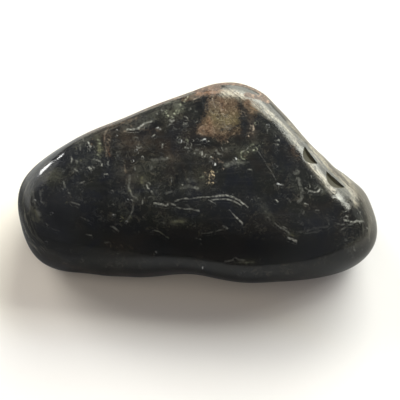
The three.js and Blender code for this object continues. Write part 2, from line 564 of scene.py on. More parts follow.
def paintChips(piece, sheet):
    values = np.zeros(len(sheet["place"]))
    edge = stoneForm["chipEdge"]
    for chip in stoneForm["chips"]:
        share, bow = acrossChip(sheet, chip)
        inside = fade(0.0, edge, share) * fade(0.0, edge, 1 - share) * (bow > 0) * sheet["facing"]
        values = np.maximum(values, inside)
    keepMark(piece, "flake", values)


# Distances to the side of a path and along it, on which fine lines are laid later.
def paintLies(piece, sheet):
    for name, lie in lies.items():
        values = np.zeros((len(sheet["place"]), 3))
        near, found = nearPath(sheet["place"], lie["path"], lie["reach"])
        values[near, 0] = found["side"] / lie["apart"]
        values[near, 1] = found["along"] * lie["turns"]
        keepMark(piece, name, values)


paintTints(stone, points, sheet)
paintChips(stone, sheet)
paintLies(stone, sheet)
print("tints painted")


# fine threads, each with its width in pixels, its strength and its path

threadTones = {                      # the place of each on one scale, and its colour
    "black": (0.0, (0.001, 0.001, 0.001, 1)),
    "rust": (0.15, (0.11, 0.065, 0.045, 1)),
    "tan": (0.30, (0.36, 0.30, 0.235, 1)),
    # gold: mica specks, painted bright as glints
    "gold": (0.45, (0.80, 0.66, 0.44, 1)),
    "olive": (0.60, (0.24, 0.24, 0.14, 1)),
    "green": (0.72, (0.36, 0.39, 0.29, 1)),
    "silver": (0.86, (0.36, 0.37, 0.34, 1)),
    "ice": (1.0, (0.66, 0.69, 0.70, 1)),
}
threadLayers = "ABCDE"               # threads that cross lie in different layers
threadForm = {
    "shortShare": 0.55,              # share of its width that a very short thread has,
    "longEnough": 14,                # and the pixels of length that would add a whole width to that
    "margin": 4,                     # pixels
    "taper": 0.12,                   # share of the length
    "ends": (0.2, 1.2),              # pixels past either end
    "edge": (1.5, 3.0),              # pixels past half the width
    "least": 0.01,                   # the weakest mark that is kept
    "outside": 9,                    # half widths, for points that no thread reaches
}
threads = {
    "silver": [
        (1.6, 0.42, [(174.7, 201.2), (183.3, 198.6), (191.3, 198.8), (200, 197.4), (208.4, 196.9),
                     (215.8, 196.3)]),
        (2.1, 0.95, [(215.8, 196.3), (224.4, 195.1), (230.2, 196.3), (235.9, 198.6)]),
        (1.6, 0.85, [(235.9, 198.6), (240, 201), (244.5, 204.3), (248, 207.2)]),
        (1.6, 0.62, [(211.8, 199.7), (221.6, 198.9), (230.2, 199.7), (236, 202.2), (241.8, 205.6)]),
        (1.3, 0.50, [(208.8, 200), (216, 204)]),
        (2.2, 1.00, [(153.4, 203.2), (158, 203.6), (163.2, 204.6)]),
        (1.8, 0.80, [(163.2, 204.6), (166.7, 205.4), (168.6, 203.6)]),
        (1.8, 0.50, [(171, 203.4), (175.3, 205.4)]),
        (1.5, 0.30, [(175.9, 207.3), (183.9, 208.5), (190, 209.1)]),
        (1.9, 0.48, [(190, 209.1), (194, 209.6), (199.4, 210.9)]),
        (1.3, 0.20, [(164.4, 201.6), (169, 202.3)]),
        (1.3, 0.40, [(229.3, 209.5), (236, 217)]),
        (1.7, 1.00, [(236, 217), (242.7, 223.8)]),
        (1.3, 0.15, [(256.6, 149.8), (260.6, 155), (264.1, 160.1), (266.9, 165.3), (270.4, 169.9),
                     (276.1, 180.2)]),
        (2.0, 0.60, [(281.2, 184.8), (283.2, 185)]),
        (3.6, 0.24, [(295.5, 169.5), (298, 172.1), (294, 174.4)]),
        (3.4, 0.26, [(295.5, 178.1), (299.2, 179), (299.6, 183), (301.4, 189.3), (301.5, 196.7),
                     (299.7, 200.3), (297.3, 203)]),
        (2.2, 0.15, [(287.6, 197.9), (290.6, 202.7)]),
        (1.8, 0.24, [(280.3, 193.9), (282, 193.6)]),
        (1.8, 0.95, [(275.7, 199.7), (278.2, 202.4)]),
        (2.1, 0.95, [(304.3, 203.1), (305.8, 203.6)]),
        (1.8, 0.30, [(305.8, 203.6), (308.8, 204.8)]),
        (1.9, 0.30, [(315.4, 210.2), (319.4, 210.4)]),
        (2.4, 0.14, [(304.5, 211), (302.7, 214.2)]),
        (1.8, 0.50, [(305.2, 187.6), (308.9, 190.8)]),
        (1.9, 0.95, [(308.9, 190.8), (313.6, 191.9), (318.4, 191.5), (320.6, 188.6)]),
        (1.6, 0.48, [(309.5, 184.2), (310.1, 187.4)]),
        (1.5, 0.50, [(317.8, 186.4), (315.2, 188.9)]),
        (1.5, 0.34, [(311.2, 175.6), (311.6, 177.6)]),
        (1.9, 0.90, [(344.1, 219.7), (348.5, 221.1), (353, 222), (356.6, 221.1), (363.7, 221.5)]),
        (1.6, 0.48, [(349, 224.6), (353, 223.3), (355.7, 222)]),
        (1.8, 0.22, [(338.9, 231), (342.7, 229.1), (347.2, 226)]),
        (1.7, 0.22, [(335.1, 222.9), (340.5, 224.6), (345, 224.2)]),
        (1.8, 0.70, [(344.3, 215.6), (348.3, 216.4)]),
        (1.8, 0.13, [(340, 217.5), (343.2, 217.5)]),
        (1.8, 0.13, [(333.4, 216.6), (335.6, 218.4)]),
        (1.8, 0.95, [(359.2, 221.8), (359.9, 223.2)]),
        (2.6, 0.34, [(343.2, 210.8), (344, 212)]),
        (2.4, 0.62, [(359.5, 211.4), (360.3, 212.4)]),
        (2.2, 0.58, [(367, 227.3), (367.5, 228.7)]),
        (3.0, 0.16, [(344.2, 240.9), (348.4, 239.6)]),
        (2.4, 0.18, [(267.6, 216.7), (270.6, 220.3)]),
        (1.8, 0.12, [(264.5, 210), (266.1, 212.4)]),
        (1.7, 0.30, [(274.8, 223), (279.1, 226.4)]),
        (2.0, 0.48, [(279.7, 227), (283.9, 229.4), (288.2, 231.8), (289.6, 234.8)]),
        (1.6, 0.36, [(282.7, 226.4), (287.6, 228.8)]),
        (2.2, 0.95, [(287.6, 237.8), (292.4, 239.4), (297.3, 241.5)]),
        (2.6, 0.10, [(296, 231.4), (301.5, 231.8), (310.6, 230), (318, 227.6), (325.7, 227), (328.8, 225.1),
                     (328.2, 220.3), (326.3, 216.7)]),
        (1.8, 0.08, [(304, 233.6), (312, 232.4), (322, 230.2)]),
        (1.8, 0.48, [(304.4, 232.2), (305.4, 232.6)]),
        (2.4, 0.85, [(126.8, 129.8), (129.7, 129.1), (133.1, 129.5), (137.7, 128.6), (140.6, 126.3),
                     (144.1, 123.4)]),
        (2.0, 0.50, [(144.1, 123.4), (148.6, 122.3), (152.7, 120.6)]),
        (1.8, 0.30, [(135.4, 146.2), (138.9, 147.8), (141.8, 146.4)]),
        (1.6, 0.34, [(138.2, 143.8), (138.8, 145.2)]),
        (1.5, 0.30, [(138.4, 151.4), (138.2, 154)]),
        (2.4, 0.70, [(141.6, 156.6), (143.6, 156.4)]),
        (1.8, 0.85, [(152.2, 137), (153.4, 136), (155, 134.4)]),
        (1.8, 0.24, [(133.7, 137.2), (138.9, 137.8)]),
        (2.0, 0.90, [(88.2, 141.8), (89.6, 145.6), (91, 147)]),
        (1.8, 0.60, [(93.6, 145.8), (94.4, 147.4)]),
        (1.8, 0.45, [(89.6, 149.2), (90.2, 150.8)]),
        (1.6, 0.30, [(94.4, 150.8), (95.2, 152)]),
        (2.0, 0.48, [(107.9, 161.3), (108.5, 165.9)]),
        (2.3, 0.70, [(102.3, 163.4), (101.6, 166)]),
        (1.9, 0.38, [(93, 159), (97, 160.2), (101, 161.9)]),
        (2.2, 0.95, [(88.4, 166.6), (90, 168.6), (92.2, 169.6)]),
        (2.0, 0.82, [(92.4, 166.3), (94.6, 167.9)]),
        (1.9, 0.62, [(104, 173.9), (108, 174.4)]),
        (3.2, 0.22, [(116.6, 155.6), (118, 156.4)]),
        (1.6, 0.18, [(116, 152.4), (118.4, 151.2), (120.6, 152)]),
        (1.8, 0.45, [(71, 156.4), (72, 160), (71, 163.6)]),
        (1.8, 0.38, [(75.8, 160.4), (77.6, 161.4), (76.6, 163.2)]),
        (1.8, 0.36, [(74.2, 169), (76.4, 170.4), (78.6, 172.2)]),
        (2.0, 0.20, [(80.2, 144.6), (80.4, 150.8)]),
        (2.0, 0.20, [(83, 138.8), (83.6, 141.4)]),
        (1.7, 0.34, [(80.4, 183.2), (84.4, 181.4)]),
        (2.0, 0.30, [(63.4, 181), (64.2, 184.6), (65.6, 187.6)]),
        (2.2, 0.30, [(68.2, 192.4), (70.6, 194)]),
        (1.9, 0.34, [(71.3, 202), (76, 203.8), (80, 205.3)]),
        (2.8, 0.16, [(32.7, 188.7), (33.3, 195.3), (34, 200.7), (37.3, 210), (40, 216.7)]),
        (2.2, 0.20, [(40, 190), (40.7, 196.7), (43.3, 204.7)]),
        (1.3, 0.34, [(42.6, 167.6), (46, 164.3), (51, 160.8)]),
        (1.8, 0.36, [(45.4, 222.8), (47.7, 225.2)]),
        (1.8, 0.09, [(47.7, 227.2), (54, 229.4), (59.8, 231)]),
        (2.0, 0.12, [(79.7, 216.5), (86, 219.6), (92, 222.7)]),
        (1.6, 0.30, [(86.4, 234.2), (89.6, 235.2), (92.4, 235.6)]),
        (1.8, 0.18, [(104.2, 242.5), (110.8, 242.4)]),
        (1.9, 0.30, [(110.3, 226.5), (114.1, 227.2), (116.4, 229.5), (118.9, 231.2)]),
        (2.4, 0.28, [(129.9, 175.4), (129.6, 179), (129.4, 184)]),
        (1.9, 0.30, [(129, 184.6), (128.2, 187.4), (130.5, 190.3), (131.6, 194.9), (134.8, 197.1),
                     (138, 199.6)]),
        (1.9, 0.48, [(131, 199.4), (132.8, 200.8)]),
        (1.9, 0.38, [(130.5, 214.4), (133.1, 209.8), (132.8, 205.2)]),
        (1.9, 0.26, [(127.4, 220.6), (129.4, 217.2), (130.5, 214.4)]),
        (1.8, 0.50, [(142.7, 200.2), (142.3, 204.2)]),
        (1.9, 0.90, [(146.6, 184.6), (147.2, 187.4), (149.4, 188.9)]),
        (1.8, 0.30, [(146.8, 182.6), (148.8, 182.9), (150.4, 185)]),
        (2.4, 0.55, [(151.2, 190.8), (152.3, 193.9)]),
        (2.6, 0.26, [(156.8, 196.4), (157.8, 197.2)]),
        (1.9, 0.18, [(147.7, 197.7), (150.6, 196.3), (154, 198.9)]),
        (1.9, 0.32, [(144, 197.4), (145.4, 198.2)]),
        (1.7, 0.24, [(171.5, 177), (171.5, 182.4)]),
        (2.2, 0.58, [(182.1, 184), (183, 185.2)]),
        (2.8, 0.22, [(180.4, 188.5), (183.9, 188), (187.9, 185.7), (192.5, 187.4), (198.2, 188)]),
        (4.4, 0.13, [(186.8, 178.8), (191.3, 180.5), (197.1, 182.2)]),
        (2.4, 0.20, [(165.5, 193.7), (169, 192), (172.4, 191.4)]),
        (2.6, 0.24, [(191, 187.9), (198.6, 187.4)]),
        (3.0, 0.30, [(173.9, 220.6), (175.8, 220.8)]),
        (2.2, 0.14, [(160.9, 221.3), (164.4, 223)]),
        (2.0, 0.10, [(160.4, 214.9), (163.2, 216.7)]),
        (2.4, 0.15, [(194.2, 226.2), (195.6, 226.6)]),
        (1.8, 0.12, [(150.7, 231.9), (154.5, 230.7), (159.9, 231.9)]),
        (2.2, 0.26, [(222.6, 225.6), (225, 226.6), (228, 228.8)]),
        (1.8, 0.12, [(201.2, 233.4), (208.9, 232.7), (216.5, 231.1), (222.6, 229.6)]),
        (2.2, 0.24, [(199.4, 239), (201.2, 239.8)]),
        (2.6, 0.12, [(196, 237.6), (197.6, 238.4)]),
        (2.2, 0.12, [(200.4, 243.4), (202, 244)]),
        (1.8, 0.20, [(224.2, 261.7), (231.8, 260.2), (235.6, 257.9), (239.5, 259.8), (245.6, 260.2)]),
        (2.2, 0.48, [(184.4, 116.4), (186, 117.2), (187.8, 118.3)]),
        (2.4, 0.68, [(182.8, 123.7), (187.6, 123.4)]),
        (2.2, 0.34, [(186.2, 130.2), (186.2, 131.8)]),
        (2.2, 0.38, [(197.2, 120.8), (197.2, 122.4)]),
        (2.4, 0.66, [(190.6, 108), (191.2, 109.4)]),
        (1.8, 0.24, [(194.4, 111.3), (197.4, 111.5)]),
        (2.0, 0.46, [(169.2, 119.6), (171.8, 121.4), (174.6, 119.4)]),
        (1.8, 0.44, [(171.8, 121.4), (171.9, 124)]),
        (2.0, 0.24, [(170.2, 123.4), (169, 126)]),
        (2.2, 0.48, [(156.6, 113), (157.6, 114)]),
        (2.4, 0.56, [(161.4, 109.8), (162.6, 110.8)]),
        (2.4, 0.46, [(177.3, 136.8), (177.5, 138.4)]),
        (2.0, 0.44, [(183.9, 140.8), (184.1, 142.4)]),
        (1.9, 0.44, [(193.4, 139.4), (193.8, 141.4)]),
        (2.0, 0.70, [(191.6, 143.6), (191.2, 146.4)]),
        (2.0, 0.38, [(186.8, 142.4), (187.6, 144)]),
        (2.4, 0.80, [(184.4, 146.9), (186, 147.5)]),
        (2.0, 0.52, [(187.2, 147.8), (188.4, 148)]),
        (2.2, 0.82, [(190.6, 147.4), (191.4, 148.6)]),
        (2.0, 0.45, [(188.4, 150.2), (189.2, 151.6)]),
        (2.2, 0.68, [(162.6, 143.6), (162.6, 145.6)]),
        (2.2, 0.58, [(162.2, 146.6), (162.2, 148)]),
        (5.0, 0.28, [(195.6, 149), (198.2, 150.6)]),
        (2.4, 0.34, [(199.6, 151), (201, 152)]),
        (2.6, 0.30, [(193.8, 152.8), (195.4, 153.4)]),
        (2.0, 0.80, [(202.4, 151.2), (202, 155.6)]),
        (2.2, 0.82, [(204.2, 156), (205, 156.9)]),
        (2.2, 0.64, [(206.8, 154.2), (207.8, 154.6)]),
        (2.6, 0.86, [(210.4, 156.6), (211.8, 157.2)]),
        (2.2, 0.85, [(207.4, 141.6), (209.2, 141)]),
        (2.0, 0.50, [(200, 140.6), (202, 140)]),
        (2.2, 0.42, [(196.6, 138.2), (198.2, 138.8)]),
        (1.8, 0.28, [(195.9, 144.7), (200.9, 144.7)]),
        (2.2, 0.22, [(204.4, 145.6), (205.2, 147)]),
        (2.0, 0.20, [(201, 147.4), (201.8, 148.8)]),
        (2.2, 0.44, [(166.4, 157.4), (168, 157.8)]),
        (2.6, 0.30, [(161.2, 156.6), (162.8, 157.2)]),
        (2.4, 0.22, [(169, 156.2), (170.4, 155.8)]),
        (1.9, 0.46, [(216.2, 149.6), (217.4, 152.7), (219.3, 153.9), (222.3, 153.5)]),
        (1.8, 0.36, [(221.4, 147.2), (223.3, 150.6)]),
        (2.4, 0.32, [(225.6, 148.4), (227, 148.8)]),
        (1.9, 0.72, [(248, 147.8), (246.6, 149.6)]),
        (2.0, 0.60, [(244.8, 150.2), (242.6, 152)]),
        (4.0, 0.28, [(224.4, 166.2), (227.9, 164.3), (233, 163.2), (238.8, 163)]),
        (2.4, 0.14, [(238.8, 163), (244, 163.2), (250, 162)]),
        (2.2, 0.30, [(247.8, 169.5), (251.8, 169.8)]),
        (2.4, 0.48, [(277, 165.4), (278, 166.4)]),
        (2.2, 0.24, [(273.8, 163.2), (275, 164)]),
        (2.6, 0.38, [(278, 139.6), (279.8, 140.4)]),
        (2.0, 0.24, [(277.6, 143.6), (278.2, 145.4)]),
        (2.0, 0.68, [(277.2, 140), (279.4, 140.8)]),
        (1.9, 0.32, [(276.4, 144.3), (279, 144.4)]),
        (1.9, 0.22, [(274.2, 140), (276, 140.4)]),
        (1.9, 0.22, [(275.6, 134.6), (275.8, 136.8)]),
        (2.0, 0.24, [(267.4, 129), (267.3, 133.4)]),
        (2.2, 0.30, [(267, 118.6), (268.4, 119.6)]),
        (2.0, 0.12, [(277, 149.8), (278.2, 151)]),
        (1.8, 0.24, [(231.8, 194), (233.4, 194.2)]),
        (2.0, 0.30, [(247.6, 196.6), (248.6, 197.4)]),
        (2.0, 0.30, [(251.2, 199), (253, 199.6)]),
        (2.2, 0.13, [(257.6, 198), (260, 197.8)]),
        (1.8, 0.12, [(223.2, 191.6), (223.6, 193)]),
        (2.0, 0.44, [(112, 190.2), (113.6, 191)]),
        (2.2, 0.26, [(113, 204), (113.8, 205.4)]),
        (2.0, 0.14, [(118.4, 205.2), (120.7, 208.6)]),
        (2.0, 0.28, [(115, 213.8), (116, 214.8)]),
        (2.0, 0.14, [(124.8, 192.4), (125.6, 193.6)]),
        (2.0, 0.12, [(142.4, 216.2), (143.6, 217)]),
        (1.7, 0.20, [(151.6, 165), (151, 169.4)]),
        (1.9, 0.24, [(134.5, 166), (135.1, 170.4)]),
        (1.8, 0.24, [(137.2, 176), (138.2, 177)]),
        (1.8, 0.18, [(152, 165.8), (152.2, 168.6)]),
        (2.6, 0.16, [(150.4, 160.2), (159, 159), (168, 158.4)]),
        (2.2, 0.13, [(353, 246), (356, 251)]),
        (2.6, 0.20, [(354.2, 249.4), (355.4, 250.6)]),
        (2.6, 0.16, [(361.2, 249), (362.6, 250.2)]),
        (2.2, 0.14, [(352.8, 256.2), (354, 257.4)]),
    ],
    "ice": [
        (2.2, 1.00, [(157.7, 126.9), (158.5, 127.7)]),
        (1.9, 0.60, [(160.1, 128.2), (160.9, 129)]),
        (2.0, 0.80, [(136.4, 148.8), (137.4, 149.8)]),
        (1.7, 0.70, [(133.2, 159.8), (133.6, 161.2)]),
        (2.0, 0.72, [(113.3, 214.2), (114.2, 215.4)]),
        (2.4, 0.78, [(126.2, 221.2), (127.4, 221.8)]),
        (1.8, 0.50, [(127.9, 199), (128.7, 199.8)]),
        (1.8, 0.60, [(155.8, 251.9), (156.6, 252.5)]),
        (1.8, 0.72, [(202.7, 267), (202.7, 268.4)]),
        (2.2, 1.00, [(181.7, 140.2), (181.4, 142.4)]),
        (2.2, 1.00, [(203.2, 139.5), (206, 139.1)]),
        (2.2, 1.00, [(215.6, 163), (215.3, 165.2)]),
        (2.4, 0.85, [(235.6, 157.6), (236.6, 159.2)]),
        (2.0, 0.90, [(276.7, 183), (279.4, 184.4)]),
        (1.8, 0.60, [(279.4, 184.4), (281.6, 184.8)]),
        (2.4, 0.62, [(266.6, 124.4), (269.6, 124.9)]),
        (1.9, 0.65, [(34.8, 199.4), (35.6, 200.6)]),
        (1.7, 0.50, [(41, 201.2), (41.6, 202.6)]),
        (1.8, 0.30, [(52.2, 212), (53.2, 213.4)]),
        (1.8, 0.30, [(46.2, 241), (47.4, 241.8)]),
        (2.0, 0.20, [(62.2, 188), (63.4, 189.4)]),
        (1.8, 0.35, [(116.6, 129.4), (117.6, 130.2)]),
        (1.8, 0.35, [(116.8, 135), (117.6, 136)]),
        (2.4, 0.16, [(209.6, 161.8), (213, 161)]),
    ],
    "green": [
        (2.6, 0.90, [(165.4, 111.8), (166.6, 113.4)]),
        (2.6, 0.95, [(167.6, 114.8), (168.8, 116.2)]),
        (2.4, 0.90, [(171.2, 116.8), (172.6, 116.2)]),
        (2.6, 0.88, [(173.8, 113.2), (175.6, 114.2)]),
        (2.2, 0.56, [(166, 109.6), (167.2, 110.4)]),
        (2.0, 0.52, [(175.6, 111.4), (177, 109.6), (179.2, 110.6), (178.8, 113), (176.6, 113.6)]),
        (2.4, 0.44, [(181.8, 108.4), (183.2, 109)]),
        (3.2, 0.40, [(180, 103.6), (181.2, 106.4)]),
        (2.2, 0.90, [(184, 101.6), (186, 99)]),
        (1.9, 0.80, [(187.4, 97.2), (188.4, 96)]),
        (1.9, 1.00, [(191.2, 93.2), (192.2, 92.4)]),
        (1.8, 0.30, [(177, 141.4), (179, 142.2)]),
        (1.8, 0.36, [(179.6, 135.6), (181, 137)]),
        (1.7, 0.34, [(185.2, 139.6), (187.6, 139.4), (188, 142)]),
        (1.9, 0.62, [(256.2, 125), (254.6, 122)]),
        (2.0, 0.46, [(250.4, 146.8), (251.6, 144.6), (254.2, 144.4)]),
        (2.0, 0.46, [(256, 147.4), (257.4, 149.8)]),
        (2.2, 0.92, [(252.8, 150.4), (254.8, 149.8)]),
        (2.0, 0.36, [(258.2, 146), (259.8, 145.4)]),
        (2.0, 0.30, [(262.2, 143.7), (264, 143.2)]),
        (1.9, 0.46, [(241.6, 154.8), (240.8, 152.6), (242.6, 151)]),
        (1.8, 0.52, [(247.4, 151.4), (248.8, 152.8)]),
        (1.9, 0.60, [(241, 156.4), (242.4, 158.6), (245, 159.2)]),
        (1.8, 0.38, [(245, 156.6), (246.6, 155.4)]),
        (2.0, 0.55, [(238, 159.4), (239.6, 160)]),
        (1.7, 0.18, [(154.5, 230.7), (159.9, 231.9), (163.7, 234.9), (168.7, 238.4)]),
        (1.9, 0.16, [(238.7, 262.3), (254.8, 262.5)]),
        (3.0, 0.45, [(97.2, 139), (99.8, 141)]),
        (2.0, 0.72, [(97.4, 143.7), (101, 143.3)]),
        (2.0, 0.44, [(96.6, 153.4), (98.4, 155.4), (100.6, 158.2)]),
        (2.4, 0.30, [(200, 178.2), (203.4, 175.9)]),
        (2.4, 0.16, [(217.6, 170.4), (217.4, 173)]),
        (2.2, 0.12, [(184, 221.4), (177, 221.6)]),
    ],
    "olive": [
        (2.6, 0.60, [(129.6, 189.6), (131.2, 191)]),
        (3.4, 0.22, [(141.4, 176.5), (142, 183.9)]),
        (4.2, 0.60, [(98, 145.6), (100.6, 148.6), (98.6, 152)]),
        (2.2, 0.30, [(66, 201.6), (67.6, 202.4)]),
        (3.0, 0.22, [(172.4, 221.8), (183.9, 221.3)]),
        (3.0, 0.24, [(290.4, 234.4), (294, 236.4)]),
        (1.8, 0.40, [(76, 147.4), (76.8, 149)]),
        (2.2, 0.24, [(34.8, 209), (37.6, 216), (39.6, 220.6)]),
        (2.0, 0.22, [(32, 216), (34.6, 221)]),
        (2.0, 0.34, [(121, 216.4), (123.6, 218.6)]),
        (2.0, 0.30, [(119.4, 222), (122, 220.6)]),
        (2.0, 0.30, [(130.2, 216), (131.6, 218)]),
        (1.8, 0.36, [(80, 159.6), (81.4, 160.4)]),
    ],
    "tan": [
        (2.0, 0.36, [(105.8, 130.6), (104.2, 136.6), (104.4, 143), (105.9, 148.7), (106.7, 156.7)]),
        (2.0, 0.40, [(105.8, 131.4), (108, 129.2)]),
        (2.2, 0.40, [(107, 138.6), (110.4, 140.8)]),
        (3.0, 0.30, [(110, 125.8), (113.6, 124.2)]),
        (3.0, 0.40, [(123.4, 131.6), (126, 131.2)]),
        (3.2, 0.38, [(129.6, 126.8), (132.4, 125.6)]),
        (2.0, 0.26, [(124.8, 165), (125.3, 172)]),
        (2.0, 0.50, [(192.7, 99.7), (200, 97)]),
        (2.0, 0.90, [(252.8, 125), (253.4, 128), (252.9, 131)]),
        (1.9, 0.55, [(250.2, 124.4), (251.2, 126.6)]),
        (2.0, 0.85, [(248.2, 135.4), (249, 137)]),
        (1.8, 0.40, [(247, 133.4), (250.6, 132.6), (253.4, 133.6)]),
        (1.9, 0.55, [(243, 111.4), (244.4, 112.8)]),
        (1.8, 0.45, [(245.2, 114.4), (246.2, 115.8)]),
        (1.9, 0.48, [(241.4, 110.6), (242.2, 112)]),
        (1.8, 0.55, [(217.8, 139.6), (218.4, 141.6)]),
        (1.8, 0.45, [(220.8, 142.6), (221.4, 144.2)]),
        (2.0, 0.72, [(227.6, 140.6), (228.4, 142.4)]),
        (2.2, 0.44, [(218.6, 162.4), (221, 161.4), (223.4, 162.6)]),
        (2.2, 0.66, [(222.4, 167.6), (223.8, 168.8)]),
        (2.2, 0.46, [(217.6, 158.6), (218.8, 159.4)]),
        (2.0, 0.56, [(212.4, 157.4), (213.6, 158.2)]),
        (2.2, 0.34, [(198.8, 129.6), (200.6, 127.4), (204.2, 126.2)]),
        (2.0, 0.30, [(197.6, 132), (199.8, 133.6), (203, 135)]),
        (2.0, 0.30, [(203.4, 128.4), (203.8, 132.6), (206.4, 134.8)]),
        (2.0, 0.28, [(212, 127), (214.6, 130), (213.6, 134)]),
        (2.0, 0.22, [(217.6, 128.4), (221.4, 130.6)]),
        (2.0, 0.22, [(225, 124.8), (228.8, 127.8), (234, 126.6)]),
    ],
    "gold": [
        # yellow mica specks, painted bright as glints
        (2.4, 1.00, [(209.8, 174.6), (209.2, 176.8)]),
        (2.2, 0.75, [(211.6, 169.6), (212.6, 171.6)]),
        (2.1, 0.66, [(213.6, 175), (214.6, 176.4)]),
        (2.0, 0.66, [(211.8, 173.8), (213, 175)]),
        (2.4, 0.92, [(208.2, 182), (209.2, 183)]),
        (2.4, 0.92, [(212.6, 182), (213.4, 183)]),
        (2.0, 0.60, [(209, 178.6), (210.2, 180.4)]),
        (2.0, 0.50, [(205, 172), (206, 173)]),
        (1.8, 0.80, [(211.2, 172.2), (212.2, 173)]),
        (1.8, 0.70, [(213.2, 171.2), (213.8, 172.4)]),
        (2.0, 0.85, [(211.4, 176.6), (212.2, 178)]),
        (1.8, 0.70, [(213.6, 178.6), (213.2, 180)]),
    ],
    "rust": [
        (2.4, 0.36, [(107.4, 146), (108.6, 152), (110, 157.4)]),
        (2.4, 0.28, [(106.6, 143.6), (110.6, 144)]),
        (1.6, 0.20, [(60, 262), (90, 271), (130, 274.5), (180, 273), (215, 277)]),
        (2.4, 0.50, [(208.6, 124.8), (210.8, 126.6)]),
        (2.2, 0.44, [(222, 124.2), (223.6, 125.6)]),
        (2.2, 0.44, [(215.4, 112.6), (216.6, 113.6)]),
        (3.0, 0.30, [(217.4, 137), (221, 140), (225.4, 137.4)]),
        (5.0, 0.14, [(292, 148), (296, 156)]),
    ],
    "black": [
        # the first two lie along the flakes' outer edges: painted shade under their lips
        (1.8, 1.00, [(305.1, 147), (307.8, 151), (310.9, 155.4), (314.4, 160.4), (317, 163.2)]),
        (1.8, 1.00, [(328, 172), (333.4, 176.4), (336.6, 180), (339.8, 184.2), (344.4, 187.2)]),
        (1.6, 0.95, [(314, 166.2), (316.6, 168.6), (319.4, 170.4)]),
        (1.6, 0.95, [(331.8, 191.2), (335, 191.4), (338.7, 192.4)]),
        (1.6, 0.80, [(328.8, 187.6), (330.2, 188.6)]),
        (1.6, 0.70, [(153.6, 201.8), (160, 201.6), (167.8, 202.2)]),
        (2.2, 0.80, [(148, 186), (149.6, 186.2)]),
        (1.8, 0.70, [(279.6, 182.4), (281, 183)]),
        (2.2, 0.70, [(299.2, 180.4), (300.8, 181.2)]),
        (1.8, 0.70, [(102, 136.4), (102.8, 143.4), (101.6, 147.4)]),
        (2.0, 0.60, [(93.8, 140), (95.4, 144.8)]),
        (2.4, 0.70, [(115, 131), (116.2, 132.4)]),
        (1.6, 0.60, [(128.6, 131.2), (132, 131.4), (136, 131)]),
        (1.6, 0.60, [(311, 186.4), (312.4, 189.6)]),
        (1.6, 0.60, [(314.4, 186), (316.6, 189)]),
        (1.8, 0.60, [(180, 144.4), (184, 144.6), (186, 145.6)]),
        (1.8, 0.60, [(206, 141.6), (209.6, 143.2), (214, 142.8)]),
        (1.8, 0.60, [(216.6, 144.6), (222, 145.4)]),
        (1.8, 0.55, [(241.6, 108.4), (243.4, 114.4), (247.4, 119.4)]),
        (1.8, 0.50, [(246, 155), (243.4, 155.8)]),
        (1.4, 0.60, [(224.4, 197.4), (231, 198), (236.6, 200.6)]),
        (2.0, 0.60, [(350.4, 214.6), (353.6, 218)]),
        (1.8, 0.50, [(355, 219.8), (352, 219.2)]),
        (1.8, 0.60, [(212.4, 172.8), (211.2, 174)]),
        (1.8, 0.60, [(211.4, 177.4), (212.6, 179.4)]),
        (1.6, 0.50, [(288.6, 236), (294, 238)]),
    ],
}


def threadMarks(sheet, stroke):
    width, strength, path = stroke
    length = sum(math.dist(a, b) for a, b in zip(path[:-1], path[1:]))
    width *= min(1.0, threadForm["shortShare"] + length / threadForm["longEnough"])
    near, found = nearPath(sheet["place"], path, width + threadForm["margin"])
    taper = threadForm["taper"]
    start, end = found["along"] + taper / 2, 1 + taper / 2 - found["along"]
    tapered = fade(0, taper, start) * fade(0, taper, end) * (1 - fade(*threadForm["ends"], found["beyond"]))
    inner, outer = (width / 2 + past for past in threadForm["edge"])
    held = strength * tapered * (1 - fade(inner, outer, found["gap"])) * sheet["facing"][near]
    return near, found["side"] / (width / 2), held


# A thread goes in the first layer where it crosses no other, or else in the last one.
def addThread(layers, near, across, held, shade):
    least = threadForm["least"]
    drawn = held > least
    free = [layer for layer in layers.values() if not np.any(layer[near[drawn], 1] > least)]
    layer = free[0] if free else layers[threadLayers[-1]]
    unused = near[layer[near, 1] < least]
    layer[unused, 2] = shade
    near, across, held = near[drawn], across[drawn], held[drawn]
    closer = np.abs(across) < np.abs(layer[near, 0])
    layer[near[closer]] = np.column_stack((across, held, np.full(len(near), shade)))[closer]


# Short bowed threads on the hidden sides.
def scatterThreads(layers, points, normals, sheet):
    draw = np.random.default_rng(hidden["seed"])
    for at in draw.choice(unseenPoints(sheet), hidden["threads"]):
        half = draw.uniform(*hidden["length"]) / 2
        width, strength = draw.uniform(*hidden["width"]), draw.uniform(*hidden["strength"])
        bow = draw.uniform(-1, 1) * hidden["bend"]
        shade = threadTones[hidden["tones"][draw.integers(len(hidden["tones"]))]][0]
        step = np.cross(normals[at], draw.normal(size=3))
        step /= np.linalg.norm(step)
        off = points - points[at]
        near = np.nonzero(np.linalg.norm(off, axis=1) < half + hidden["margin"])[0]
        along = off[near] @ step
        side = off[near] @ np.cross(normals[at], step) - bow * along ** 2
        tapered = 1 - fade(half * hidden["taper"], half, np.abs(along))
        inner, outer = (width + past for past in hidden["edge"])
        held = strength * tapered * (1 - fade(inner, outer, np.abs(side))) * (1 - sheet["facing"][near])
        addThread(layers, near, side / (width / 2), held, shade)


def paintThreads(piece, points, normals, sheet):
    layers = {letter: np.zeros((len(points), 3)) for letter in threadLayers}
    for layer in layers.values():
        layer[:, 0] = threadForm["outside"]
    for name, strokes in threads.items():
        for stroke in strokes:
            addThread(layers, *threadMarks(sheet, stroke), threadTones[name][0])
    scatterThreads(layers, points, normals, sheet)
    for letter, layer in layers.items():
        keepMark(piece, "threads" + letter, layer)


paintThreads(stone, points, normals, sheet)
print("threads painted")


# shader helpers

floatSocket, vectorSocket = "NodeSocketFloat", "NodeSocketVector"
noiseMiddle = 0.5


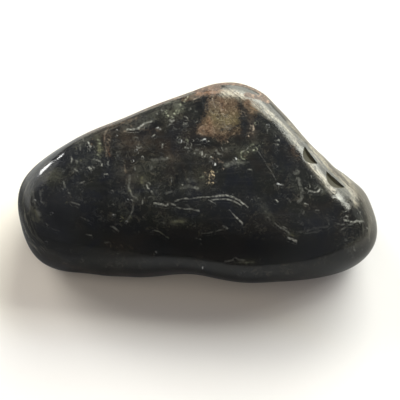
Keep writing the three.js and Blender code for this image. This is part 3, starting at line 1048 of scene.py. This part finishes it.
def addNode(tree, kind, **settings):
    node = tree.nodes.new(kind)
    for name, value in settings.items():
        setattr(node, name, value)
    return node


def feed(tree, socket, value):
    if isinstance(value, bpy.types.NodeSocket):
        tree.links.new(value, socket)
    elif value is not None:
        socket.default_value = value


def calc(tree, operation, first, second=None, third=None, clamp=False):
    node = addNode(tree, "ShaderNodeMath", operation=operation, use_clamp=clamp)
    for socket, value in zip(node.inputs, (first, second, third)):
        feed(tree, socket, value)
    return node.outputs[0]


def product(tree, *factors):
    result = factors[0]
    for factor in factors[1:]:
        result = calc(tree, "MULTIPLY", result, factor)
    return result


def pileUp(tree, total, weighted):
    for weight, field in weighted:
        total = calc(tree, "MULTIPLY_ADD", field, weight, total)
    return total


def vectorCalc(tree, operation, first, second, output="Vector"):
    node = addNode(tree, "ShaderNodeVectorMath", operation=operation)
    feed(tree, node.inputs[0], first)
    feed(tree, node.inputs["Scale" if operation == "SCALE" else 1], second)
    return node.outputs[output]


def axesOf(tree, position):
    split = addNode(tree, "ShaderNodeSeparateXYZ")
    feed(tree, split.inputs[0], position)
    return split.outputs


# Smoothly from start to end, as the value goes from low to high.
def ease(tree, value, low, high, start=0.0, end=1.0):
    node = addNode(tree, "ShaderNodeMapRange", interpolation_type="SMOOTHSTEP")
    settings = {"Value": value, "From Min": low, "From Max": high, "To Min": start, "To Max": end}
    for name, given in settings.items():
        feed(tree, node.inputs[name], given)
    return node.outputs["Result"]


def noiseField(tree, position, scale, detail=3.0, rough=0.6, warp=0.0, output="Fac"):
    node = addNode(tree, "ShaderNodeTexNoise")
    settings = {"Vector": position, "Scale": scale, "Detail": detail, "Roughness": rough, "Distortion": warp}
    for name, given in settings.items():
        feed(tree, node.inputs[name], given)
    return node.outputs[output]


def stretch(tree, position, scale, turn=(0, 0, 0)):
    node = addNode(tree, "ShaderNodeMapping")
    feed(tree, node.inputs["Vector"], position)
    node.inputs["Scale"].default_value = scale
    node.inputs["Rotation"].default_value = [math.radians(a) for a in turn]
    return node.outputs["Vector"]


def tone(tree, factor, first, second):
    node = addNode(tree, "ShaderNodeMix", data_type="RGBA")
    for name, given in {"Factor": factor, "A": first, "B": second}.items():
        feed(tree, node.inputs[name], given)
    return node.outputs["Result"]


def mark(tree, name, output="Fac"):
    return addNode(tree, "ShaderNodeAttribute", attribute_name=name).outputs[output]


def makeGroup(name, takes, gives):
    group = bpy.data.node_groups.new(name, "ShaderNodeTree")
    for label, kind, value in takes:
        socket = group.interface.new_socket(name=label, in_out="INPUT", socket_type=kind)
        if value is not None:
            socket.default_value = value
    for label in gives:
        group.interface.new_socket(name=label, in_out="OUTPUT", socket_type=floatSocket)
    return group, group.nodes.new("NodeGroupInput").outputs, group.nodes.new("NodeGroupOutput").inputs


def placeGroup(tree, group, **values):
    node = addNode(tree, "ShaderNodeGroup", node_tree=group)
    for name, value in values.items():
        feed(tree, node.inputs[name], value)
    return node.outputs


# the stone's finish

polish = {
    "black": (0.0070, 0.0080, 0.0098, 1),            # the body, and the casts over it
    "greenish": (0.0090, 0.0100, 0.0080, 1),
    "brownish": (0.0115, 0.0104, 0.0090, 1),
    "bluish": (0.0066, 0.0080, 0.0118, 1),
    "brown": (0.024, 0.0165, 0.0115, 1),
    # the darkest spots, and painted shade along the lower front
    "night": (0.0016, 0.0018, 0.0028, 1),
    "grain": (0.022, 0.0222, 0.019, 1),              # pale marks in the polish
    "wisp": (0.062, 0.057, 0.044, 1),
    "wispCool": (0.048, 0.049, 0.045, 1),
    "mottle": (0.075, 0.078, 0.068, 1),
    "mottleCool": (0.060, 0.066, 0.072, 1),
    "streak": (0.021, 0.021, 0.0215, 1),
    "smoke": (0.085, 0.090, 0.072, 1),
    "smokeBrown": (0.120, 0.094, 0.074, 1),
    "fleckDim": (0.120, 0.122, 0.104, 1),            # specks
    "fleck": (0.460, 0.470, 0.420, 1),
    # mica specks, painted bright as glints
    "gold": (0.620, 0.470, 0.250, 1),
    "rustDark": (0.036, 0.024, 0.016, 1),            # the weathered patch
    "rustMiddle": (0.100, 0.070, 0.046, 1),
    "rustPale": (0.280, 0.222, 0.160, 1),
    "ochre": (0.132, 0.112, 0.052, 1),
    "blush": (0.240, 0.140, 0.092, 1),
    "umber": (0.014, 0.010, 0.008, 1),
    "olive": (0.062, 0.063, 0.042, 1),
    "lined": (0.105, 0.105, 0.090, 1),               # wear along the edges
    # the worn ridge's beige, which also paints the window's highlights on the apex and the ridge
    "worn": (0.520, 0.480, 0.385, 1),
    "wornDark": (0.052, 0.047, 0.037, 1),
    "dull": (0.075, 0.047, 0.034, 1),
    "dullPale": (0.340, 0.225, 0.160, 1),
    "flake": (0.030, 0.026, 0.010, 1),
    "index": 1.63,                                   # refractive index
}
threadLook = {                       # in half widths of a thread
    "stray": 2.8,
    "fades": (0.0, 1.5),
}
veins = {
    "broad": {"detail": 4.0, "rough": 0.6},
    "swirl": {"Scale": 0.38, "Warp": 1.6, "Fineness": 0.016},
    "fine": {"Scale": 0.95, "Warp": 1.3, "Fineness": 0.022},
}
comb = {
    "bend": {"scale": 0.30, "detail": 2.0, "rough": 0.5},
    "bendBy": 8.0,                   # mm
    "drawnOut": (0.30, 1.8, 1.8),
    "grain": {"detail": 3.0, "rough": 0.62},
    "across": {"Turn": (0.3, 0.2, 0.5), "Finer": 1.0},
    "upward": {"Turn": (0.9, 0.1, 1.9), "Finer": 1.3},
}
grains = {                           # noise with its scale per mm, and where it is turned, drawn out or laid
    "drift": {"scale": 0.11, "rough": 0.55, "warp": 0.6},
    "cast": {"scale": 0.16, "rough": 0.55, "warp": 0.8, "turn": (40, 0, 70)},
    "patches": {"scale": 0.22, "warp": 0.8},
    "grainy": {"scale": 2.7, "rough": 0.7, "warp": 0.4},
    "gaps": {"scale": 1.15, "detail": 2.0, "warp": 0.5},
    "streaks": {"scale": 1.0, "rough": 0.7, "drawnOut": (0.22, 2.6, 2.6), "turn": (8, 0, 0)},
    "curls": {"scale": 0.75, "detail": 4.0, "rough": 0.62, "warp": 1.2},
    "weathered": {"scale": 1.9, "detail": 4.0, "rough": 0.75, "warp": 0.8},
    "scored": {"scale": 1.0, "rough": 0.65, "laid": "ridgeLie"},
    "lines": {"scale": 1.0, "detail": 4.0, "rough": 0.7, "laid": "rimLie"},
    "speck": {"scale": 2.2, "detail": 2.0, "warp": 1.5},
    "glint": {"scale": 0.9, "detail": 2.0},
    "broken": {"scale": 2.6, "rough": 0.65},
    "wander": {"scale": 1.6, "rough": 0.65},
    "wear": {"scale": 0.5},
    "lengthwise": {"scale": 1.0, "detail": 4.0, "rough": 0.65, "drawnOut": (0.10, 1.3, 1.3)},
    "orangePeel": {"scale": 1.2},
}
edges = {                            # from and to where a field shows, and how strongly at either end
    "greenish": (0.40, 0.62),
    "brownish": (0.52, 0.66),
    "bluish": (0.46, 0.34),
    "lively": (0.40, 0.60, 0.4, 1.0),
    "gaps": (0.46, 0.54),
    "brown": (0.36, 0.60, 0.3, 1.0),
    "grain": (0.48, 0.76),
    "combedDark": (0.47, 0.36, 0.0, 0.7),
    "wispAcross": (0.52, 0.68),
    "wispUpward": (0.54, 0.70),
    "wispGaps": (0.0, 1.0, 0.25, 1.0),
    "warmer": (0.44, 0.56),
    "mottle": (0.36, 0.52, 0.1, 0.5),
    "streaks": (0.50, 0.72, 0.0, 0.7),
    "smokeCurls": (0.36, 0.66, 0.10, 1.0),
    "smokeGrain": (0.34, 0.56, 0.5, 1.0),
    "olive": (0.35, 0.62, 0.3, 1.0),
    "rust": (0.20, 0.84),
    "rustMiddle": (0.36, 0.50),
    "ochre": (0.36, 0.56, 0.2, 1.0),
    "rustPale": (0.53, 0.66, 0.0, 0.8),
    "blush": (0.38, 0.54, 0.15, 0.9),
    "umber": (0.62, 0.48),
    "scores": (0.48, 0.64, 0.0, 0.7),
    "wornPale": (0.36, 0.58),
    "worn": (0.36, 0.56, 0.3, 1.0),
    "lined": (0.49, 0.62, 0.0, 0.8),
    "dull": (0.25, 0.60),
    "dullPale": (0.50, 0.62),
    "fleck": (0.0, 0.10),
    "fleckBright": (0.44, 0.66),
    "threadBreaks": (0.38, 0.60, 0.25, 1.15),
    "threadCurls": (0.36, 0.58, 0.6, 1.1),
    "roughness": (0.35, 0.7, 0.06, 0.12),
}
ragged = {"rust": 1.4, "dull": 1.2}              # how far grain eats into the edge of a tint
flecks = {                           # the noise that a fleck needs, which is lower where they are dense
    "from": 0.78, "reach": -0.22, "lively": 0.06,
}
rougher = {                          # what each mark adds to the roughness
    "matt": 0.06, "thread": 0.25, "flake": 0.62, "worn": 0.12, "dull": 0.45, "rim": 0.16, "smoke": 0.10,
}
relief = {                           # mm
    "lengthwise": 0.016, "orangePeel": 0.006, "gritty": 0.085, "scored": 0.030, "lines": 0.065,
    "thread": -0.012, "grainy": 0.008, "fleck": -0.010,
    "grittyWorn": 0.9,               # share of the grit that worn stone has
}


# X is the distance from the middle of the thread, Y its strength and Z the place of its tone.
def threadGroup():
    takes = [("Line", vectorSocket, None), ("Wander", floatSocket, 0.5), ("Breakup", floatSocket, 1.0)]
    tree, given, made = makeGroup("fine thread", takes, ["Mask", "Tone"])
    line = axesOf(tree, given["Line"])
    swing = calc(tree, "SUBTRACT", given["Wander"], noiseMiddle)
    off = calc(tree, "ABSOLUTE", calc(tree, "MULTIPLY_ADD", swing, threadLook["stray"], line["X"]))
    body = ease(tree, off, *threadLook["fades"], 1.0, 0.0)
    feed(tree, made["Mask"], product(tree, body, line["Y"], given["Breakup"]))
    feed(tree, made["Tone"], line["Z"])
    return tree


# Thin lines, where a noise passes its middle.
def marblingGroup():
    takes = [("Position", vectorSocket, None)]
    takes += [(label, floatSocket, value) for label, value in veins["fine"].items()]
    tree, given, made = makeGroup("marbling", takes, ["Veins"])
    broad = noiseField(tree, given["Position"], given["Scale"], warp=given["Warp"], **veins["broad"])
    ridge = calc(tree, "ABSOLUTE", calc(tree, "SUBTRACT", broad, noiseMiddle))
    feed(tree, made["Veins"], ease(tree, ridge, 0.0, given["Fineness"], 1.0, 0.0))
    return tree


# Grain drawn out along lines that bend.
def combedGroup():
    takes = [("Position", vectorSocket, None), ("Turn", vectorSocket, None), ("Finer", floatSocket, 1.0)]
    tree, given, made = makeGroup("combed grain", takes, ["Grain"])
    swirl = noiseField(tree, given["Position"], output="Color", **comb["bend"])
    swirl = vectorCalc(tree, "SCALE", swirl, comb["bendBy"])
    turned = addNode(tree, "ShaderNodeMapping")
    feed(tree, turned.inputs["Vector"], vectorCalc(tree, "ADD", given["Position"], swirl))
    feed(tree, turned.inputs["Rotation"], given["Turn"])
    drawnOut = stretch(tree, turned.outputs[0], comb["drawnOut"])
    feed(tree, made["Grain"], noiseField(tree, drawnOut, given["Finer"], **comb["grain"]))
    return tree


def shows(tree, name, field):
    return ease(tree, field, *edges[name])


def raggedMark(tree, name, field):
    swing = calc(tree, "SUBTRACT", field, noiseMiddle)
    return shows(tree, name, calc(tree, "MULTIPLY_ADD", swing, ragged[name], mark(tree, name)))


# Paints go over a colour one after another, each where its mask shows.
def coat(tree, colour, coats):
    for mask, paint in coats:
        colour = tone(tree, mask, colour, polish[paint] if isinstance(paint, str) else paint)
    return colour


# The fields of the finish are kept in one dictionary, to which the marks below add masks of their own.
def layGrains(tree, inMm):
    fields = {}
    for name, grain in grains.items():
        noiseSettings = {key: grain[key] for key in ("scale", "detail", "rough", "warp") if key in grain}
        position = inMm
        if "laid" in grain:
            position = mark(tree, grain["laid"], "Vector")
        elif "drawnOut" in grain or "turn" in grain:
            position = stretch(tree, inMm, grain.get("drawnOut", (1, 1, 1)), grain.get("turn", (0, 0, 0)))
        fields[name] = noiseField(tree, position, **noiseSettings)
    combed = combedGroup()
    for name in ("across", "upward"):
        fields[name] = placeGroup(tree, combed, Position=inMm, **comb[name])["Grain"]
    marble = marblingGroup()
    found = [placeGroup(tree, marble, Position=inMm, **veins[name])["Veins"] for name in ("swirl", "fine")]
    fields["veins"] = calc(tree, "MAXIMUM", *found)
    fields["gaps"] = shows(tree, "gaps", fields["gaps"])
    busy = calc(tree, "SUBTRACT", 1.0, mark(tree, "calm"))
    fields["lively"] = product(tree, busy, shows(tree, "lively", fields["patches"]))
    return fields


def blackBody(tree, fields):
    cast, lively = fields["cast"], fields["lively"]
    return coat(tree, polish["black"], [
        (shows(tree, "greenish", fields["drift"]), "greenish"),
        (shows(tree, "brownish", cast), "brownish"),
        (shows(tree, "bluish", cast), "bluish"),
        (product(tree, mark(tree, "brown"), shows(tree, "brown", cast)), "brown"),
        (product(tree, shows(tree, "grain", fields["grainy"]), lively), "grain"),
        (product(tree, shows(tree, "combedDark", fields["across"]), lively), "night"),
    ])


def addWisps(tree, fields, colour):
    warmer, lively = shows(tree, "warmer", fields["cast"]), fields["lively"]
    across = shows(tree, "wispAcross", fields["across"])
    upward = shows(tree, "wispUpward", fields["upward"])
    gaps = shows(tree, "wispGaps", fields["gaps"])
    wisps = product(tree, calc(tree, "MAXIMUM", across, upward), gaps, lively)
    mottle = product(tree, fields["veins"], fields["gaps"], shows(tree, "mottle", fields["grainy"]), lively)
    return coat(tree, colour, [
        (wisps, tone(tree, warmer, polish["wispCool"], polish["wisp"])),
        (mottle, tone(tree, warmer, polish["mottleCool"], polish["mottle"])),
        (shows(tree, "streaks", fields["streaks"]), "streak"),
    ])


def addSmoke(tree, fields, colour):
    curls, grain = shows(tree, "smokeCurls", fields["curls"]), shows(tree, "smokeGrain", fields["grainy"])
    fields["smoke"] = product(tree, mark(tree, "smoke"), curls, grain)
    smokeColour = tone(tree, mark(tree, "brown"), polish["smoke"], polish["smokeBrown"])
    return tone(tree, fields["smoke"], colour, smokeColour)


def addRust(tree, fields, colour):
    weathered = fields["weathered"]
    rust = coat(tree, polish["rustDark"], [
        (shows(tree, "rustMiddle", weathered), "rustMiddle"),
        (product(tree, mark(tree, "ochre"), shows(tree, "ochre", weathered)), "ochre"),
        (shows(tree, "rustPale", weathered), "rustPale"),
        (product(tree, mark(tree, "blush"), shows(tree, "blush", weathered)), "blush"),
        (product(tree, mark(tree, "umber"), shows(tree, "umber", weathered)), "umber"),
    ])
    return coat(tree, colour, [
        (raggedMark(tree, "rust", fields["grainy"]), rust),
        (product(tree, mark(tree, "olive"), shows(tree, "olive", fields["grainy"])), "olive"),
        # dark spots, and painted shade along the lower front
        (mark(tree, "night"), "night"),
    ])


def addWear(tree, fields, colour):
    # The worn mark is partly wear and partly a painted highlight of the window on the apex and the ridge.
    fields["worn"] = product(tree, mark(tree, "worn"), shows(tree, "worn", fields["grainy"]))
    fields["dull"] = raggedMark(tree, "dull", fields["grainy"])
    wornColour = tone(tree, shows(tree, "wornPale", fields["scored"]), polish["wornDark"], polish["worn"])
    dullColour = tone(tree, shows(tree, "dullPale", fields["weathered"]), polish["dull"], polish["dullPale"])
    return coat(tree, colour, [
        (product(tree, mark(tree, "ridge"), shows(tree, "scores", fields["scored"])), "lined"),
        (fields["worn"], wornColour),
        (product(tree, mark(tree, "rim"), shows(tree, "lined", fields["lines"])), "lined"),
        (fields["dull"], dullColour),
        (mark(tree, "flake"), "flake"),
    ])


def addFlecks(tree, fields, colour):
    density = calc(tree, "MULTIPLY_ADD", fields["lively"], flecks["lively"], mark(tree, "fleck"), clamp=True)
    lowest = calc(tree, "MULTIPLY_ADD", density, flecks["reach"], flecks["from"])
    most = calc(tree, "MAXIMUM", calc(tree, "MAXIMUM", fields["across"], fields["upward"]), fields["speck"])
    fields["fleck"] = shows(tree, "fleck", calc(tree, "SUBTRACT", most, lowest))
    bright = shows(tree, "fleckBright", fields["glint"])
    fleckColour = coat(tree, polish["fleckDim"], [(bright, "fleck"), (mark(tree, "gold"), "gold")])
    return tone(tree, fields["fleck"], colour, fleckColour)


def threadRamp(tree, place):
    ramp = addNode(tree, "ShaderNodeValToRGB")
    stops = ramp.color_ramp.elements
    stops.remove(stops[1])
    (stops[0].position, stops[0].color), *others = threadTones.values()
    for at, shade in others:
        stops.new(at).color = shade
    feed(tree, ramp.inputs[0], place)
    return ramp.outputs[0]


def addThreads(tree, fields, colour):
    thread = threadGroup()
    breaks = shows(tree, "threadBreaks", fields["broken"])
    broken = product(tree, breaks, shows(tree, "threadCurls", fields["curls"]))
    fields["thread"] = 0.0
    for letter in threadLayers:
        laid = mark(tree, "threads" + letter, "Vector")
        line = placeGroup(tree, thread, Line=laid, Wander=fields["wander"], Breakup=broken)
        colour = tone(tree, line["Mask"], colour, threadRamp(tree, line["Tone"]))
        fields["thread"] = calc(tree, "MAXIMUM", fields["thread"], line["Mask"])
    return colour


def roughness(tree, fields):
    total = shows(tree, "roughness", fields["wear"])
    masks = {name: fields[name] if name in fields else mark(tree, name) for name in rougher}
    total = pileUp(tree, total, [(weight, masks[name]) for name, weight in rougher.items()])
    return calc(tree, "MINIMUM", total, 1.0)


def surfaceHeight(tree, fields):
    worn, matt = mark(tree, "worn"), mark(tree, "matt")
    grit = calc(tree, "MULTIPLY_ADD", worn, relief["grittyWorn"], matt, clamp=True)
    return pileUp(tree, 0.0, [
        (relief["lengthwise"], fields["lengthwise"]),
        (relief["orangePeel"], fields["orangePeel"]),
        (relief["gritty"], product(tree, fields["weathered"], grit)),
        (relief["scored"], product(tree, fields["scored"], mark(tree, "ridge"))),
        (relief["lines"], product(tree, fields["lines"], mark(tree, "rim"))),
        (relief["thread"], fields["thread"]),
        (relief["grainy"], product(tree, fields["grainy"], fields["lively"])),
        (relief["fleck"], fields["fleck"]),
    ])


def polishedSchorl():
    material = bpy.data.materials.new(finish)
    material.use_nodes = True
    tree = material.node_tree
    shader = tree.nodes["Principled BSDF"]
    shader.inputs["IOR"].default_value = polish["index"]
    inMm = stretch(tree, addNode(tree, "ShaderNodeTexCoord").outputs["Object"], (1 / mm,) * 3)
    fields = layGrains(tree, inMm)
    colour = blackBody(tree, fields)
    for addMarks in (addWisps, addSmoke, addRust, addWear, addFlecks, addThreads):
        colour = addMarks(tree, fields, colour)
    feed(tree, shader.inputs["Base Color"], colour)
    feed(tree, shader.inputs["Roughness"], roughness(tree, fields))
    bump = addNode(tree, "ShaderNodeBump")
    bump.inputs["Distance"].default_value = mm
    bump.inputs["Strength"].default_value = 1.0
    feed(tree, bump.inputs["Height"], surfaceHeight(tree, fields))
    feed(tree, shader.inputs["Normal"], bump.outputs["Normal"])
    return material


stone.data.materials.clear()
stone.data.materials.append(polishedSchorl())
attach(stone, "root")
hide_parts(stoneNode)
print("stone finished")


# the floor

floorLook = {
    "size": 3.0,                     # m from the middle to each side
    # The paper is painted cooler away from the stone, to the right and in front, so that the shade about the
    # stone is warmer: a painted tint of shade.
    "paper": (0.925, 0.897, 0.838, 1),
    "paperCool": (0.872, 0.872, 0.895, 1),           # the paper away from the stone,
    "coolRight": (0.004, 0.026),     # m, to the right
    "coolFront": (-0.013, -0.026),   # and in front
    "mirrored": (0.240, 0.250, 0.268, 1),            # the paper as the polish mirrors it, darkened as a painted shade, at the front left
    "mirroredBehind": (0.72, 0.685, 0.615, 1),       # and at the back right
    "behind": (0.8, 0.6, 0.0),       # the direction in which it changes
    "behindTurns": (0.005, 0.060),   # m
    "leftward": (0.012, 0.026),      # m, from where the mirrored paper changes to the left as follows
    "leftLevel": 0.42,               # how bright it is there
    "leftGlow": {"at": (-0.030, -0.012, 0.0), "from": 0.008, "to": 0.018, "more": 0.5},
    "leftBehind": (0.008, 0.020, 0.0, 2.0),          # m to the back, and how much brighter it gets
    "mirroredRight": (0.062, 0.100, 1.1, 0.4),       # m to the right
    "paperFinish": {"Roughness": 0.85, "Specular IOR Level": 0.2},
}


# The polish mirrors darker paper at the front and paler paper behind, changed again to the left and far to
# the right: painted shade and light, seen only in the polish.
def mirroredPaper(tree, place):
    spot = axesOf(tree, place)
    behind = vectorCalc(tree, "DOT_PRODUCT", place, floorLook["behind"], "Value")
    behind = ease(tree, behind, *floorLook["behindTurns"])
    colour = tone(tree, behind, floorLook["mirrored"], floorLook["mirroredBehind"])
    glow = floorLook["leftGlow"]
    apart = vectorCalc(tree, "DISTANCE", place, glow["at"], "Value")
    left = ease(tree, apart, glow["from"], glow["to"], glow["more"], 0.0)
    left = calc(tree, "ADD", left, ease(tree, spot["Y"], *floorLook["leftBehind"]))
    change = calc(tree, "ADD", left, floorLook["leftLevel"] - 1)
    leftness = ease(tree, calc(tree, "MULTIPLY", spot["X"], -1.0), *floorLook["leftward"])
    level = calc(tree, "MULTIPLY_ADD", change, leftness, 1.0)
    level = product(tree, level, ease(tree, spot["X"], *floorLook["mirroredRight"]))
    return vectorCalc(tree, "SCALE", colour, level)


def paleFloor():
    material = bpy.data.materials.new("pale_floor")
    material.use_nodes = True
    tree = material.node_tree
    shader = tree.nodes["Principled BSDF"]
    place = addNode(tree, "ShaderNodeTexCoord").outputs["Object"]
    spot = axesOf(tree, place)
    # cooler paper away from the stone, warmer in its shade: a painted tint of shade
    coolRight = ease(tree, spot["X"], *floorLook["coolRight"])
    coolFront = ease(tree, spot["Y"], *floorLook["coolFront"])
    cool = calc(tree, "MAXIMUM", coolRight, coolFront)
    paper = tone(tree, cool, floorLook["paper"], floorLook["paperCool"])
    mirrored = addNode(tree, "ShaderNodeLightPath").outputs["Is Glossy Ray"]
    feed(tree, shader.inputs["Base Color"], tone(tree, mirrored, paper, mirroredPaper(tree, place)))
    for name, given in floorLook["paperFinish"].items():
        shader.inputs[name].default_value = given
    return material


def makeFloor():
    bm = bmesh.new()
    bmesh.ops.create_grid(bm, x_segments=1, y_segments=1, size=floorLook["size"])
    mesh = bpy.data.meshes.new("floor")
    bm.to_mesh(mesh)
    bm.free()
    floor = bpy.data.objects.new("floor", mesh)
    scene.collection.objects.link(floor)
    mesh.materials.append(paleFloor())


makeFloor()
print("floor laid")


# the room and its light

room = {
    "pale": (0.92, 0.92, 0.90, 1),                   # what the camera sees past the floor
    "sky": (0.965, 0.99, 1.05),
    "overhead": (0.0, 0.6, 0.8),     # where the room is brightest
    "brightness": (0.05, 0.80, 0.062, 0.155),
    "darkest": 0.14,                 # the room is darkest straight in front, a little to the left,
    "front": (0.1, -0.4),
    "aside": (0.02, 0.32, 0.0, 0.13),                # and this much brighter to either side of that
    "leftSky": (0.05, 0.60, 0.0, 0.075),             # it is brighter to the left,
    "leftSkyBack": (-0.5, -0.1),     # but not far in front
    "far": 1.3,                      # m from the stone to the windows, in plan
    "windows": [                     # each a span of azimuth and of elevation, seen from the stone
        {"name": "window right", "azimuth": (23, 50), "elevation": (36, 54), "radiance": 9.5},
        {"name": "window left", "azimuth": (50, 90), "elevation": (29, 48), "radiance": 8.5},
        {"name": "sill right", "azimuth": (28, 50), "elevation": (1, 36), "radiance": 3.2, "gloss": True},
        {"name": "reveal", "azimuth": (6, 28), "elevation": (1, 26), "radiance": 0.45},
        {"name": "sill left", "azimuth": (50, 88), "elevation": (1, 29), "radiance": 3.2},
    ],
    "windowColour": (0.99, 1.0, 0.88),
    "lamps": [                       # width and height in m
        {"name": "side window low", "azimuth": 142.0, "elevation": 7.0, "roll": 28, "far": 1.2,
         "size": (0.085, 0.24), "radiance": 18.0, "colour": (1.0, 1.0, 0.98), "mirrored": True},
        {"name": "side window high", "azimuth": 135.5, "elevation": 18.5, "roll": 28, "far": 1.2,
         "size": (0.085, 0.17), "radiance": 16.0, "colour": (1.0, 1.0, 0.98), "mirrored": True},
        {"name": "window corner", "azimuth": 17.5, "elevation": 38.5, "roll": 42, "far": 1.2,
         "size": (0.32, 0.10), "radiance": 10.0, "colour": (0.99, 1.0, 0.88), "mirrored": True},
        {"name": "window fill", "azimuth": 50, "elevation": 30, "roll": 0, "far": 1.4,
         "size": (1.8, 0.9), "radiance": 2.6, "colour": (1.0, 0.985, 0.95), "mirrored": False},
        {"name": "left fill", "azimuth": 137, "elevation": 30, "roll": 0, "far": 1.6,
         "size": (1.0, 0.9), "radiance": 4.8, "colour": (1.0, 0.93, 0.84), "mirrored": False},
        {"name": "front fill", "azimuth": -100, "elevation": 60, "roll": 0, "far": 1.6,
         "size": (1.6, 1.6), "radiance": 0.54, "colour": (1.0, 0.80, 0.60), "mirrored": False},
        {"name": "left wall", "azimuth": 150, "elevation": 14, "roll": 0, "far": 1.8,
         "size": (0.55, 0.9), "radiance": 0.58, "colour": (1.0, 1.0, 0.98), "mirrored": True},
    ],
}


def aim(azimuth, elevation):
    azimuth, elevation = math.radians(azimuth), math.radians(elevation)
    flat = math.cos(elevation)
    return Vector((flat * math.cos(azimuth), flat * math.sin(azimuth), math.sin(elevation)))


def makeLamp(lamp, place, facing):
    width, height = lamp["size"]
    data = bpy.data.lights.new(lamp["name"], "AREA")
    data.shape = "RECTANGLE"
    data.size, data.size_y = width, height
    data.color = lamp["colour"]
    data.energy = lamp["radiance"] * math.pi * width * height
    light = bpy.data.objects.new(lamp["name"], data)
    light.location = place
    turn = Quaternion((0, 0, 1), math.radians(lamp.get("roll", 0)))
    light.rotation_euler = (facing.to_track_quat("Z", "Y") @ turn).to_euler()
    light.visible_camera = False
    light.visible_glossy = lamp.get("mirrored", True)
    light.visible_diffuse = not lamp.get("gloss", False)
    scene.collection.objects.link(light)


# A window fills its span of azimuth and elevation, seen from the stone.
def makeWindow(pane):
    start, end = pane["azimuth"]
    facing = aim((start + end) / 2, 0)
    width = 2 * room["far"] * math.tan(math.radians(end - start) / 2)
    foot, top = (room["far"] * math.tan(math.radians(a)) for a in pane["elevation"])
    lamp = {**pane, "size": (width, top - foot), "colour": room["windowColour"]}
    makeLamp(lamp, facing * room["far"] + Vector((0, 0, (foot + top) / 2)), facing)


def makeRoom():
    world = bpy.data.worlds.new("room")
    scene.world = world
    world.use_nodes = True
    tree = world.node_tree
    tree.nodes.clear()
    direction = addNode(tree, "ShaderNodeTexCoord").outputs["Generated"]
    overhead = vectorCalc(tree, "DOT_PRODUCT", direction, room["overhead"], "Value")
    strength = ease(tree, overhead, *room["brightness"])
    spot = axesOf(tree, direction)
    aside = calc(tree, "ABSOLUTE", calc(tree, "ADD", spot["X"], room["darkest"]))
    front = product(tree, ease(tree, spot["Y"], *room["front"]), ease(tree, aside, *room["aside"]))
    strength = calc(tree, "ADD", strength, front)
    sideways = calc(tree, "MULTIPLY", spot["X"], -1.0)
    leftward = ease(tree, sideways, *room["leftSky"])
    leftSky = product(tree, leftward, ease(tree, spot["Y"], *room["leftSkyBack"]))
    strength = calc(tree, "ADD", strength, leftSky)
    light = addNode(tree, "ShaderNodeBackground")
    light.inputs["Color"].default_value = (*room["sky"], 1)
    feed(tree, light.inputs["Strength"], strength)
    backdrop = addNode(tree, "ShaderNodeBackground")
    backdrop.inputs["Color"].default_value = room["pale"]
    mix = addNode(tree, "ShaderNodeMixShader")
    feed(tree, mix.inputs[0], addNode(tree, "ShaderNodeLightPath").outputs["Is Camera Ray"])
    feed(tree, mix.inputs[1], light.outputs[0])
    feed(tree, mix.inputs[2], backdrop.outputs[0])
    feed(tree, addNode(tree, "ShaderNodeOutputWorld").inputs["Surface"], mix.outputs[0])
    scene.view_settings.view_transform = "Standard"
    scene.view_settings.look = "None"


for pane in room["windows"]:
    makeWindow(pane)
for lamp in room["lamps"]:
    facing = aim(lamp["azimuth"], lamp["elevation"])
    makeLamp(lamp, facing * lamp["far"], facing)
makeRoom()
print("room lit")
